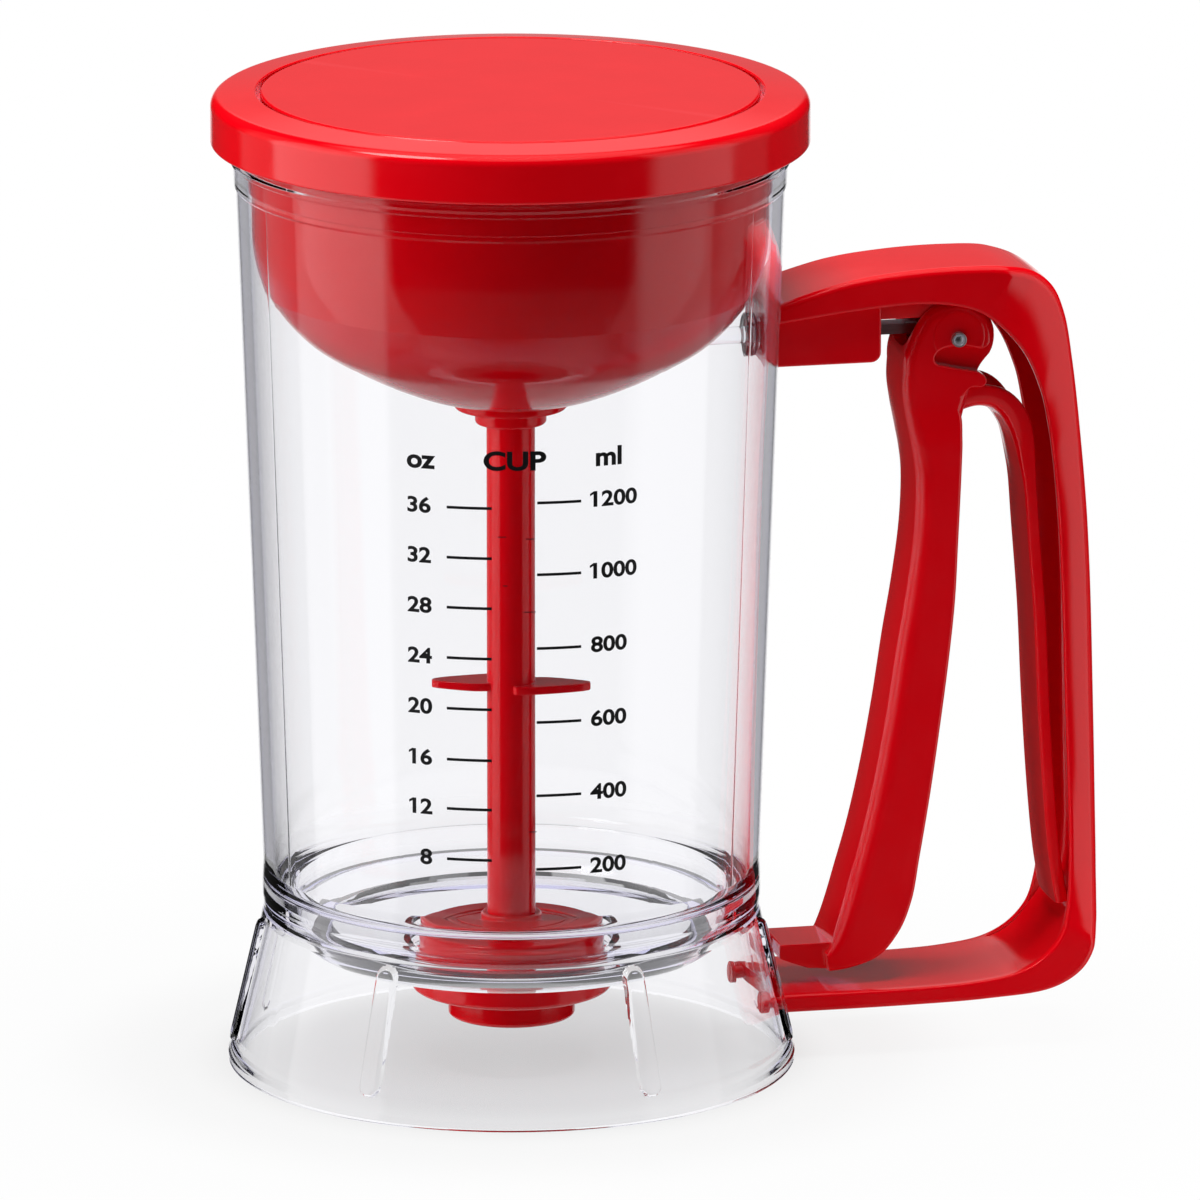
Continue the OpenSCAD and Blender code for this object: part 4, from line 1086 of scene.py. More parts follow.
@dataclass
class Funnel(SubAssembly):
    """Red bowl inside the jar's top, with the stem's bushing and the crank's bracket."""

    body: str = "cartridge"
    thick: float = 1.9
    side: tuple[Flat, ...] = ((60.4, 205.0), (60.25, 199.0), (59.2, 193.0), (57.4, 187.6))
    dome: tuple[Flat, ...] = (
        (57.4, 187.6), (52.6, 180.7), (47.0, 175.1), (37.6, 169.3), (30.5, 165.7), (22.0, 162.2),
        (15.3, 160.3), (13.3, 160.0))
    rim: Corners = (
        (59.2, 209.5, 0), (59.2, 227.2, 0.3), (64.6, 227.2, 0.5), (64.6, 226.0, 0.3), (61.2, 226.0, 0.3),
        (61.2, 212.3, 0.4), (60.4, 212.3, 0.3), (60.4, 207.0, 0))
    nose: tuple[Flat, ...] = ((9.0, 160.0), (9.0, 163.5), (12.3, 163.5))
    bushing: Corners = (
        (5.8, 154.3, 0.3), (8.4, 154.3, 0.7), (8.4, 158.0, 0.5), (13.3, 158.0, 0.7), (13.3, 160.0, 0.3),
        (9.0, 160.0, 0), (9.0, 166.4, 0.3), (7.6, 166.4, 0.2), (7.6, 161.0, 0.2), (5.8, 161.0, 0.2))

    def outline(self) -> list[Flat]:
        """Section of the bowl.

        Returns:
            Radius and height of each point, as one closed line.
        """
        side = spline(self.side, 8)[:-1] + spline(self.dome, 8)
        inner = []
        for i, (x, z) in enumerate(side):
            a, b = side[max(i - 1, 0)], side[min(i + 1, len(side) - 1)]
            way = Vector((b[0] - a[0], b[1] - a[1])).normalized()
            inner.append((x + way.y * self.thick, z - way.x * self.thick))
        top = filleted(self.rim, closed=False, steps=9)
        return top + side + list(self.nose) + [p for p in reversed(inner) if p[0] > 14.5]

    def build(self) -> None:
        """Builds the bowl and the bushing and dresses the rest."""
        self.place(lathe("funnel_bowl", self.outline(), 224, sharp=13.0), Slot.RED, ("funnel",))
        self.place(lathe("stem_collar", filleted(self.bushing), 128), Slot.RED, ("stem_bushing",))
        self.dress("stem_seal", Slot.RUBBER)
        for node in ("bushing_nut", "crank_bracket", "bell_crank"):
            self.dress(node, Slot.RED)
        for node in ("crank_pin", "crank_spring", "input_pin"):
            self.dress(node, Slot.STEEL)


@dataclass
class ValveStem(SubAssembly):
    """Red rod down the jar's axis, with its wings, plug and the collar that lifts it."""

    body: str = "valve_stem"
    wing_z: float = 91.0
    wing_turn: float = -17.0
    wing_t: float = 1.9
    blade: tuple[Flat, ...] = (
        (18.6, 0.9), (18.7, -0.4), (17.2, -1.9), (12.0, -4.3), (7.0, -6.1), (3.2, -7.1), (1.7, -7.0),
        (1.0, -6.0), (1.2, -4.6), (-3.0, -3.6), (-8.0, -4.1), (-13.0, -3.1), (-17.2, -1.7))
    rod: Corners = (
        (0.0, 29.6, 0), (5.7, 29.6, 0.2), (5.7, 185.0, 0.5), (4.2, 185.0, 0.2), (4.2, 188.0, 0.6),
        (0.0, 188.0, 0))
    plug: Corners = (
        (0.0, 23.5, 0), (4.5, 23.5, 0.6), (11.0, 29.0, 0.3), (15.9, 29.0, 0.4), (15.9, 32.3, 0.6),
        (14.3, 32.3, 0.15), (14.3, 31.7, 0.1), (13.5, 31.7, 0.1), (13.5, 32.3, 0.15), (7.2, 32.3, 0.9),
        (7.2, 35.8, 0.8), (5.72, 35.8, 0.3), (5.72, 29.6, 0), (0.0, 29.6, 0))

    def wing_outline(self) -> list[Flat]:
        """Plan of the wings: two blades, each springing from the stem's other side, in X and Y."""
        blade = spline(self.blade, 4)
        turn = math.radians(self.wing_turn)
        whole = blade + [(-x, -y) for x, y in blade]
        return [(x * math.cos(turn) - y * math.sin(turn), x * math.sin(turn) + y * math.cos(turn))
                for x, y in whole]

    def build(self) -> None:
        """Builds the stem, wings and plug and dresses the rest."""
        self.place(lathe("stem_rod", filleted(self.rod), 96), Slot.RED, ("stem",))
        plan = self.wing_outline()
        low, high = self.wing_z - self.wing_t / 2, self.wing_z + self.wing_t / 2
        n = len(plan)
        points = [(x, y, low) for x, y in plan] + [(x, y, high) for x, y in plan]
        faces: list[tuple[int, ...]] = [tuple(reversed(range(n))), tuple(range(n, 2 * n))]
        faces += [(i, (i + 1) % n, n + (i + 1) % n, n + i) for i in range(n)]
        wings = make_object("stirring_wings", points, faces, 50.0)
        soft = wings.modifiers.new("rounded rims", "BEVEL")
        soft.width, soft.segments, soft.limit_method = 0.7 * MM, 4, "ANGLE"
        soft.angle_limit = math.radians(50)
        self.place(wings, Slot.RED, ("stem_wings",))
        self.place(lathe("valve_head", filleted(self.plug), 128), Slot.RED, ("valve_plug",))
        self.dress("plug_seal", Slot.RUBBER)
        self.dress("lift_collar", Slot.RED)
        self.dress("stem_nut", Slot.STEEL)


@dataclass
class Cap(SubAssembly):
    """Lid with a soft upper edge and a disc inlaid in its top."""

    body: str = "cap"
    r: float = 70.0
    low_z: float = 221.5
    edge_z: float = 232.4
    top_z: float = 233.9
    disc_r: float = 58.35
    hole_r: float = 59.3
    ledge_z: float = 231.2

    def build(self) -> None:
        """Builds the rim and the disc and dresses the gasket."""
        low, edge, top = self.low_z, self.edge_z, self.top_z
        rim = filleted([(53.8, 228.4, 0.3), (66.6, 228.4, 1.0), (67.4, 227.6, 0.6), (67.4, low, 0.6),
                        (self.r, low, 0.7), (self.r, edge + 0.25, 2.6), (self.hole_r, top, 0.45),
                        (self.hole_r, self.ledge_z, 0.1), (53.8, self.ledge_z, 0.2)], steps=9)
        self.place(lathe("cap_rim", rim, 256, sharp=32.0), Slot.RED, ("lid_rim",))
        disc = filleted([(0.0, self.ledge_z, 0), (self.disc_r, self.ledge_z, 0.2), (self.disc_r, top, 0.8),
                         (0.0, top + 0.08, 0)], steps=8)
        self.place(lathe("cap_disc", disc, 256, sharp=32.0), Slot.RED, ("lid_disc",))
        self.dress("lid_gasket", Slot.SOFT)


@dataclass
class Handle(SubAssembly):
    """Hollow arm, grip and lower bar, with the rod's housing and the pivot."""

    wall: float = 2.5
    pivot_x: float = 105.3
    pivot_z: float = 171.2
    # Skin X and Z, open side X and Z, half width, depth of the channel's floor, corner radius.
    stations: tuple[tuple[float, ...], ...] = (
        (61.5, 182.4, 61.5, 177.6, 14.0, 2.5, 1.5), (78.0, 187.0, 78.0, 179.6, 14.0, 2.5, 1.6),
        (93.0, 188.8, 92.5, 180.7, 14.0, 2.5, 1.7), (107.0, 189.2, 103.0, 180.0, 14.0, 2.5, 1.8),
        (117.0, 188.6, 110.3, 177.7, 14.0, 2.5, 1.9), (124.0, 186.4, 116.0, 173.2, 14.0, 2.5, 2.0),
        (128.9, 182.2, 121.0, 167.0, 14.0, 2.5, 2.2), (131.7, 175.6, 124.5, 159.0, 14.0, 2.5, 2.3),
        (133.6, 164.0, 126.4, 151.0, 14.0, 2.5, 2.3), (135.1, 150.0, 127.9, 141.0, 14.0, 2.5, 2.3),
        (136.8, 132.0, 129.2, 127.0, 14.0, 2.5, 2.3), (138.0, 112.0, 130.2, 108.0, 14.0, 2.5, 2.3),
        (139.0, 80.0, 131.2, 80.0, 14.0, 2.5, 2.3), (139.4, 58.0, 131.8, 61.0, 14.6, 2.5, 2.3),
        (139.48, 44.0, 132.0, 49.0, 15.6, 2.5, 2.3), (139.3, 34.0, 131.7, 38.5, 16.6, 3.2, 2.2),
        (138.9, 28.0, 131.0, 32.2, 17.4, 6.6, 2.0), (137.6, 22.0, 129.3, 26.4, 18.0, 9.0, 1.8),
        (134.6, 17.5, 125.6, 22.0, 18.0, 9.6, 1.6), (127.7, 13.7, 119.8, 18.6, 18.0, 9.0, 1.4),
        (112.0, 12.0, 109.0, 16.6, 18.0, 9.0, 1.2), (92.0, 11.5, 92.0, 15.9, 18.0, 9.0, 1.1),
        (67.0, 11.5, 67.0, 15.9, 18.0, 9.0, 1.0))
    # Height and the X beyond which the sides draw in, from the top down.
    draw: tuple[Flat, ...] = (
        (192.0, 115.4), (184.3, 117.0), (173.4, 121.0), (151.4, 127.1), (127.0, 130.2), (95.4, 131.5),
        (68.5, 132.5), (40.0, 132.6), (28.0, 135.0), (18.0, 140.0))
    draw_slope: float = 0.47
    # Radius of the lugs that hold the pin, how high they reach, and their inner and outer faces.
    lug_r: float = 4.5
    lug_rise: float = 14.0
    lug_faces: Flat = (4.0, 7.4)
    web: tuple[Flat, ...] = ((85.0, 176.0), (101.5, 176.0), (101.5, 187.4), (85.0, 186.6))
    web_faces: Flat = (4.2, 7.2)
    box: Corners = ((60.0, 166.7, 0), (86.5, 166.7, 2.4), (86.5, 180.6, 0.6), (60.0, 178.4, 0))
    box_half: float = 11.4
    slot: tuple[Flat, ...] = ((84.0, 171.0), (90.0, 171.0), (90.0, 185.0), (84.0, 185.0))
    slot_half: float = 2.8
    hollow: tuple[Flat, ...] = ((66.9, 168.7), (84.5, 168.7), (84.5, 190.0), (66.9, 190.0))
    hollow_half: float = 9.4
    # The pin's end that shows has a dome in a ring groove.
    pin_dome: tuple[Flat, ...] = (
        (0.0, -11.8), (0.35, -11.77), (0.7, -11.68), (0.95, -11.55), (1.1, -11.4), (1.2, -11.55),
        (1.35, -11.75))
    pin_body: Corners = ((0.0, -11.8, 0), (1.8, -11.8, 0.35), (1.8, 11.8, 0.35), (0.0, 11.8, 0))
    screw: Corners = (
        (0.0, 167.4, 0), (0.7, 166.8, 0.1), (2.2, 166.8, 0.3), (2.2, 168.0, 0.3), (1.2, 168.4, 0.2),
        (1.2, 181.6, 0.4), (0.0, 181.7, 0))
    screw_at: Flat = (79.5, 6.3)

    @cached_property
    def jar(self) -> Jar:
        """The jar that the handle stands against."""
        return Jar(self.finishes)

    def jar_face(self, y: float, z: float) -> float:
        """X of the jar's outside at a width and height."""
        r = self.jar.wall_r(z) if z > 47 else self.jar.skirt_r(z)
        return math.sqrt((r + 0.06) ** 2 - y * y)

    def drawn_in(self, point: Solid, half: float) -> Solid:
        """Moves a point of the frame inwards where the sides draw in towards the skin.

        Args:
            point: The point.
            half: Half width of the frame there.

        Returns:
            The moved point.
        """
        x, y, z = point
        start = self.draw[0][1] if z > self.draw[0][0] else self.draw[-1][1]
        for (high, a), (low, b) in zip(self.draw, self.draw[1:]):
            if low <= z <= high:
                start = a + (b - a) * (high - z) / (high - low)
        past = max(x - start, 0.0)
        by = self.draw_slope * (past * past / 1.6 if past < 0.8 else past - 0.4)
        return (x, y * (1 - by / half), z)

    def frame_rings(self) -> list[list[Solid]]:
        """Rings of the frame, from the arm's root to the bar's end.

        Returns:
            The rings.
        """
        rings = []
        for ox, oz, ix, iz, half, floor, corner in spline(self.stations, 8):
            depth = math.dist((ox, oz), (ix, iz))
            ring = channel_ring((ox, oz), (ix, iz), half, self.wall, min(floor, depth), corner, 0.7, 0.12)
            rings.append([self.drawn_in(point, half) for point in ring])
        rings.insert(0, [(self.jar_face(y, z), y, z) for _, y, z in rings[0]])
        rings.append([(self.jar_face(y, z), y, z) for _, y, z in rings[-1]])
        return rings

    def build(self) -> None:
        """Builds the frame, the rod's housing and the pin and dresses the clip."""
        jar = self.jar
        lug = arc(self.pivot_x, self.pivot_z, self.lug_r, -180, 0, 14) \
            + [(self.pivot_x + self.lug_r, self.pivot_z + self.lug_rise),
               (self.pivot_x - self.lug_r, self.pivot_z + self.lug_rise)]
        parts = [loft("frame", self.frame_rings())]
        for name, outline, faces in (("lug", lug, self.lug_faces), ("web", self.web, self.web_faces)):
            parts += [slab(name, outline, *sorted(s * face for face in faces), 0.3) for s in (-1, 1)]
        self.place(join("handle_shell", parts), Slot.RED, ("handle_frame",))
        shell = slab("box", filleted(self.box, steps=6), -self.box_half, self.box_half, 1.3, 4)
        trimmed = join("rod_box", [shell])
        low, high = 150.0, 200.0
        tools = [lathe("tool",
                       [(0.0, low), (jar.wall_r(low) + 0.06, low), (jar.wall_r(high) + 0.06, high),
                        (0.0, high)], 256),
                 slab("tool_slot", self.slot, -self.slot_half, self.slot_half, 0),
                 slab("tool_hollow", self.hollow, -self.hollow_half, self.hollow_half, 0)]
        self.place(settle(combine(trimmed, tools)), Slot.RED, ("rod_housing",))
        pin = lathe("pin", list(self.pin_dome) + filleted(self.pin_body, steps=4)[2:], 48)
        centre = Matrix.Translation((self.pivot_x * MM, 0, self.pivot_z * MM))
        pin.data.transform(centre @ Matrix.Rotation(math.radians(-90), 4, "X"))
        pin.name = "hinge_pin"
        self.place(pin, Slot.STEEL, ("pivot_pin",))
        self.dress("pin_clip", Slot.STEEL)
        screws = []
        for s in (-1, 1):
            screw = lathe("screw", filleted(self.screw), 32)
            screw.data.transform(Matrix.Translation((self.screw_at[0] * MM, s * self.screw_at[1] * MM, 0)))
            screws.append(screw)
        self.place(join("cover_screws", screws), Slot.STEEL, ("housing_screws",))


@dataclass
class Trigger(SubAssembly):
    """Finger lever with a beak, a notch, a toe and the return leaf behind it."""

    body: str = "trigger"
    half: float = 11.0
    head_half: float = 10.5
    wall: float = 2.4
    # Finger side X and Z, open side X and Z, depth of the channel's floor, corner radius.
    stations: tuple[tuple[float, ...], ...] = (
        (93.3, 169.0, 102.0, 169.0, 12.0, 2.7), (92.5, 165.8, 102.0, 165.8, 12.0, 2.7),
        (92.05, 162.2, 102.5, 162.2, 12.0, 2.8), (92.0, 158.3, 103.0, 158.3, 12.0, 2.9),
        (92.65, 153.5, 106.0, 153.5, 9.0, 3.1), (93.95, 147.0, 106.5, 147.0, 3.0, 3.5),
        (94.9, 141.5, 106.4, 141.5, 3.0, 4.0), (95.4, 136.0, 106.2, 136.0, 3.0, 4.2),
        (95.0, 124.0, 105.6, 122.5, 3.0, 4.2), (93.2, 110.0, 104.9, 108.0, 3.0, 4.2),
        (91.0, 97.0, 103.5, 94.0, 3.0, 4.2), (88.6, 81.0, 101.4, 77.5, 3.0, 4.2),
        (85.5, 64.0, 99.0, 60.5, 3.0, 4.2), (82.4, 50.5, 96.6, 46.0, 3.0, 4.2),
        (79.6, 40.5, 94.6, 35.0, 3.6, 4.0), (77.6, 33.2, 91.2, 27.2, 7.0, 3.6),
        (76.0, 28.0, 86.0, 21.8, 12.0, 3.0), (75.0, 24.8, 79.0, 19.6, 12.0, 1.6),
        (74.0, 23.6, 74.6, 19.2, 12.0, 1.0))
    leaf: tuple[tuple[float, ...], ...] = (
        (102.0, 153.4), (106.5, 155.4), (111.3, 156.3), (116.4, 154.8), (120.4, 149.4), (122.8, 138.0),
        (124.2, 122.0), (125.8, 102.0), (126.9, 80.0), (128.4, 58.0), (130.0, 42.0), (131.6, 32.5))

    leaf_half: float = 9.3
    leaf_wall: float = 1.6
    head_front: tuple[Flat, ...] = (
        (98.4, 152.6), (96.4, 155.2), (94.0, 158.8), (92.6, 162.4), (92.6, 166.6), (93.5, 169.8),
        (95.0, 173.2), (97.2, 176.6), (100.4, 179.0), (104.0, 180.2))
    head_under: tuple[Flat, ...] = (
        (113.4, 166.9), (111.3, 164.4), (109.4, 160.5), (107.8, 156.0), (106.6, 151.5))
    beak: tuple[Flat, ...] = (
        (103.0, 164.4), (107.5, 163.6), (110.2, 163.0), (112.0, 161.7), (112.3, 160.4), (111.2, 159.3),
        (108.6, 159.3), (106.0, 157.0), (103.0, 156.0))
    notch_line: tuple[Flat, ...] = (
        (118.0, 160.6), (113.6, 162.1), (110.4, 163.0), (106.5, 163.7), (103.0, 164.5), (100.5, 165.2),
        (99.7, 166.2), (99.9, 167.5), (101.1, 168.7), (103.4, 169.3), (106.5, 169.4), (109.5, 168.8),
        (111.6, 168.6), (113.2, 169.9), (114.4, 172.4), (118.0, 175.0))
    notch_rim: float = 0.6
    notch_deep: float = 2.5
    # Half width of the head's hollow, and the saddle's corner radius and floor.
    hollow_half: float = 7.7
    saddle_r: float = 4.2
    saddle_z: float = 173.0
    hollow: Corners = ((96.4, 190.0, 0), (96.4, 166.2, 1.2), (120.0, 166.2, 0), (120.0, 190.0, 0))
    fork_faces: Flat = (1.3, 3.5)
    toe: Corners = (
        (66.2, 21.0, 0.3), (63.2, 22.2, 0.3), (63.2, 25.6, 0.5), (80.0, 25.6, 0.3), (80.0, 20.6, 0.3),
        (76.0, 19.1, 0.3), (70.0, 19.6, 0.3))
    toe_half: float = 8.0
    # The leaf moves with the lever above the first point and rests in the grip below the second.
    leaf_flex: tuple[Solid, Solid] = ((118.0, 0.0, 150.0), (128.0, 0.0, 62.0))

    def head_outline(self) -> list[Flat]:
        """Side view of the lever's head, with the ears' round end."""
        return spline(self.head_front, 5) + arc(105.3, 171.2, 9.2, 82, -20, 20) \
            + spline(self.head_under, 5) + arc(102.7, 151.0, 3.9, -4, -160, 12)

    def head(self) -> bpy.types.Object:
        """Builds the head: ears about the pin with a boss round it, and the beak under them. The notch
        between is cut later, in build.

        Returns:
            The head.
        """
        made = cushion("head", self.head_outline(), self.head_half, 2.7)
        boss = cushion("boss", arc(105.4, 171.7, 6.9, 0, 354, 59), self.head_half + 0.16, 1.2)
        return combine(made, [boss, cushion("beak", spline(self.beak, 5), self.head_half, 0.45, 4)],
                       "UNION")

    def leaf_rings(self) -> list[list[Solid]]:
        """Rings of the leaf: a shallow trough with its lips outwards."""
        line = spline(self.leaf, 6)
        rings = []
        for i, (x, z) in enumerate(line):
            a, b = line[max(i - 1, 0)], line[min(i + 1, len(line) - 1)]
            way = Vector((b[0] - a[0], b[1] - a[1])).normalized()
            normal = Vector((way.y, -way.x))
            # The trough is deeper and rounder over its bend than down the grip.
            swell = min(max((z - 134.0) / 17.0, 0.0), 1.0)
            tall = 1.6 + 1.6 * swell
            skin = (x + normal.x * tall, z + normal.y * tall)
            open_side = (x - normal.x * tall, z - normal.y * tall)
            rings.append(channel_ring(skin, open_side, self.leaf_half, self.leaf_wall, 1.5 + 0.5 * swell,
                                      1.2 + 2.2 * swell, 0.6, 0.3 + 0.5 * swell))
        return rings

    def build(self) -> None:
        """Builds the lever and the leaf and dresses the rod."""
        rings = [channel_ring((ox, oz), (ix, iz),
                              min(self.half, self.head_half - 0.05 + max(155.0 - oz, 0.0) / 16), self.wall,
                              min(floor, math.dist((ox, oz), (ix, iz))), corner, 0.9, 0.3)
                 for ox, oz, ix, iz, floor, corner in spline(self.stations, 6)]
        whole = combine(loft("lever", rings), [self.head()], "UNION")
        wide, corner, floor = self.hollow_half, self.saddle_r, self.saddle_z
        saddle = [(-wide, 182.0), (-wide, floor)] + arc(-wide + corner, floor, corner, 180, 270, 6) \
            + arc(wide - corner, floor, corner, -90, 0, 6) + [(wide, 182.0)]
        notch = spline(self.notch_line, 4)
        tools = [flared("notch", notch, self.head_half, self.notch_rim, self.notch_deep, side)
                 for side in (-1, 1)]
        tools.append(loft("saddle", [[(x, y, z) for y, z in saddle] for x in (86.0, 98.0)]))
        tools.append(slab("inside", filleted(self.hollow, steps=4), -wide, wide, 0))
        parts = [combine(whole, tools)]
        fork = arc(105.3, 171.2, 5.4, -180, 0, 14) + [(108.5, 179.2)] \
            + arc(105.3, 179.2, 3.2, 0, 180, 12) + [(102.1, 172.0)]
        parts += [slab("fork", fork, *sorted(s * face for face in self.fork_faces), 0.3) for s in (-1, 1)]
        parts.append(slab("toe", filleted(self.toe, steps=4), -self.toe_half, self.toe_half, 0.5))
        self.place(settle(join("finger_lever", parts)), Slot.RED, ("trigger",))
        self.place(loft("leaf_spring", self.leaf_rings()), Slot.RED, ("return_leaf",), bends=self.leaf_flex)
        self.dress("link_pin", Slot.STEEL)
        self.dress("push_rod", Slot.STEEL)
        self.dress("plunger", Slot.CLEAR)


# ---------------------------------------------------------------- studio

@dataclass
class Studio:
    """White table and backdrop, soft light and the camera."""

    azimuth: float = -12.5
    elevation: float = 13.9
    distance: float = 3.7
    lens: float = 472.5
    aim_across: float = 0.0209
    aim_up: float = 0.1112
    # What the lamps point at, in metres.
    middle: Solid = (0.02, 0.0, 0.11)
    # Azimuth, elevation, distance, width and height in metres and power in watts of each lamp.
    lamps: tuple[tuple[str, float, float, float, float, float, float], ...] = (
        ("over", -12.5, 87, 3.0, 1.5, 1.5, 108.0), ("left", -94, 14, 2.2, 1.5, 1.7, 40.0),
        ("right", 84, 18, 1.4, 0.7, 1.0, 7.8), ("front", -50, 4, 2.0, 0.9, 0.9, 3.4))
    # Where the small bright head of the key light stands, seen from the camera's side: right, back, up.
    spot: Solid = (-0.466, -0.243, 0.851)
    dim: tuple[float, ...] = (0.20, 0.19, 0.30, 1.0)
    bright: tuple[float, ...] = (1.05, 1.05, 1.05, 1.0)
    scattered: tuple[float, ...] = (1.0, 1.0, 1.02, 1.0)
    scattered_gloss: tuple[float, ...] = (0.94, 0.94, 0.96, 1.0)
    violet: tuple[float, ...] = (0.72, 0.71, 0.95, 1.0)
    warm: tuple[float, ...] = (0.95, 0.92, 0.90, 1.0)
    fill: tuple[float, ...] = (0.032, 0.032, 0.033, 1.0)
    # Grey level by the turn from the camera's side, in degrees. Soft boxes that gloss shows:
    boxes: tuple[Flat, ...] = (
        (-180, 1.0), (-170, 1.0), (-165, 0.04), (-127, 0.03), (-125, 0.36), (-104, 0.36), (-102, 1.9),
        (-56, 1.9), (-53, 0.0), (54, 0.0), (60, 1.05), (94, 1.05), (96, 0.25), (116, 0.18), (118, 0.03),
        (165, 0.04), (170, 1.0), (180, 1.0))
    # What clear plastic bends into sight, from dim to bright.
    bands: tuple[Flat, ...] = (
        (-160, 1.0), (-150, 0.45), (-126, 0.45), (-120, 0.8), (-104, 0.8), (-100, 1.0), (-56, 1.0),
        (-50, 0.5), (50, 0.5), (58, 1.0), (96, 1.0), (102, 0.8), (150, 0.5), (160, 1.0))
    # What the front wall mirrors inside, straight behind the object.
    edge: tuple[Flat, ...] = (
        (-180, 0.9), (-168, 0.75), (-156, 0.5), (-149, 0.35), (-146, 0.1), (146, 0.0), (149, 0.45),
        (165, 0.65), (180, 0.9))
    # Keeps the pale studio of the front wall to the sides.
    aside: tuple[Flat, ...] = ((-180, 1.0), (-110, 1.0), (-80, 0.0), (80, 0.0), (110, 1.0), (180, 1.0))
    # The same behind a wall, where what is straight behind is left out.
    ring: tuple[Flat, ...] = ((-172, 0.0), (-166, 1.0), (166, 1.0), (172, 0.0))
    behind: tuple[Flat, ...] = (
        (-180, 0.8), (-170, 0.8), (-164, 0.4), (-110, 0.4), (-96, 0.0), (96, 0.0), (110, 0.4), (164, 0.4),
        (170, 0.8), (180, 0.8))
    # From violet to warm.
    hue: tuple[Flat, ...] = (
        (-180, 0.0), (-120, 1.0), (-60, 0.2), (0, 1.0), (60, 0.2), (120, 1.0), (180, 0.0))
    # Grey level by height, from 0 straight down over 0.5 level to 1 straight up. Soft boxes at the
    # sides and at the rear:
    tall: tuple[Flat, ...] = (
        (0.0, 0.3), (0.30, 0.95), (0.60, 1.0), (0.70, 0.62), (0.78, 0.66), (0.84, 0.3), (0.9, 0.1))
    lift: tuple[Flat, ...] = (
        (0.0, 0.3), (0.30, 0.95), (0.44, 1.0), (0.475, 0.36), (0.50, 0.2), (0.64, 0.2), (0.70, 0.6),
        (0.78, 0.66), (0.84, 0.3), (0.9, 0.1))
    over: tuple[Flat, ...] = ((0.0, 0.0), (0.89, 0.0), (0.92, 0.9), (1.0, 0.9))
    under: tuple[Flat, ...] = ((0.0, 0.2), (0.27, 0.2), (0.33, 0.0), (1.0, 0.0))
    high: tuple[Flat, ...] = ((0.0, 1.0), (0.66, 1.0), (0.78, 0.7), (1.0, 0.7))
    level: tuple[Flat, ...] = ((0.0, 0.0), (0.41, 0.0), (0.45, 0.85), (1.0, 0.85))
    down: tuple[Flat, ...] = ((0.0, 0.8), (0.28, 0.8), (0.33, 0.0), (1.0, 0.0))
    low: tuple[Flat, ...] = ((0.0, 0.15), (0.25, 0.15), (0.32, 1.0), (0.48, 1.0), (0.55, 0.2), (1.0, 0.2))
    # Nearness to the key light's head, and its level.
    spot_glow: tuple[Flat, ...] = ((0.0, 0.0), (0.965, 0.0), (0.982, 9.0), (1.0, 9.0))
    # Half of the sector that counts as the rear, and of the one that the front wall mirrors, in degrees.
    rear_half: float = 60.0
    walled_half: float = 34.0
    # How often a ray has passed a surface of clear plastic: up to two for the front wall, more than
    # that, and many.
    near_count: Flat = (1.5, 1.1)
    far_count: float = 2.5
    many_count: float = 4.5
    scattered_share: float = 0.95
    faint_share: float = 0.1
    weak_share: float = 0.6
    # Distance from the jar's axis in metres, and the share of plain white in the table there, which
    # keeps shadows light. The lower share near the axis is a painted contact shadow under the jar.
    table_lift: tuple[Flat, ...] = ((0.0, 0.58), (0.05, 0.64), (0.08, 0.87), (0.12, 0.96), (0.22, 1.0))
    # The same distance, and the strength of the light that the table throws back.
    table_glow: tuple[Flat, ...] = ((0.0, 0.05), (0.07, 0.1), (0.1, 0.3), (0.22, 0.3), (0.3, 0.0))
    # Radius in metres, and height in millimetres: just under the foot.
    table_r: float = 0.9
    table_z: float = -0.05
    table_tones: tuple[str, str] = ("#B0B0B0", "#B6B6B6")
    # Share of plain white painted on the table where it is seen through the jar's floor, lifting its shadow
    # there.
    table_deep_share: float = 0.93

    @staticmethod
    def around(stops: Sequence[Flat]) -> list[Flat]:
        """Puts stops given in degrees on a ramp's scale from 0 to 1."""
        return [(degrees / 360 + 0.5, grey) for degrees, grey in stops]

    def direction(self, azimuth: float, elevation: float) -> Vector:
        """Unit vector towards a compass azimuth and an elevation, in degrees."""
        a, e = math.radians(azimuth), math.radians(elevation)
        return Vector((math.sin(a) * math.cos(e), -math.cos(a) * math.cos(e), math.sin(e)))

    def camera(self) -> None:
        """Puts up the camera."""
        a = math.radians(self.azimuth)
        aim = Vector((math.cos(a), math.sin(a), 0)) * self.aim_across + Vector((0, 0, self.aim_up))
        lens = bpy.data.cameras.new("camera")
        lens.lens = self.lens
        lens.sensor_width = 36
        lens.clip_end = 50
        holder = bpy.data.objects.new("camera", lens)
        holder.location = aim + self.direction(self.azimuth, self.elevation) * self.distance
        holder.rotation_euler = (aim - holder.location).to_track_quat("-Z", "Y").to_euler()
        bpy.context.scene.collection.objects.link(holder)
        bpy.context.scene.camera = holder

    def lamp(self, name: str, azimuth: float, elevation: float, distance: float, wide: float, high: float,
             power: float) -> None:
        """Puts up one soft lamp that reflections don't show.

        Args:
            name: Its name.
            azimuth: Its azimuth in degrees.
            elevation: Its elevation in degrees.
            distance: Its distance in metres.
            wide: Its width in metres.
            high: Its height in metres.
            power: Its power in watts.
        """
        light = bpy.data.lights.new(name, "AREA")
        light.shape = "RECTANGLE"
        light.size, light.size_y, light.energy = wide, high, power
        holder = bpy.data.objects.new(name, light)
        holder.location = Vector(self.middle) + self.direction(azimuth, elevation) * distance
        holder.rotation_euler = (Vector(self.middle) - holder.location).to_track_quat("-Z", "Y").to_euler()
        holder.visible_glossy = False
        holder.visible_transmission = False
        bpy.context.scene.collection.objects.link(holder)

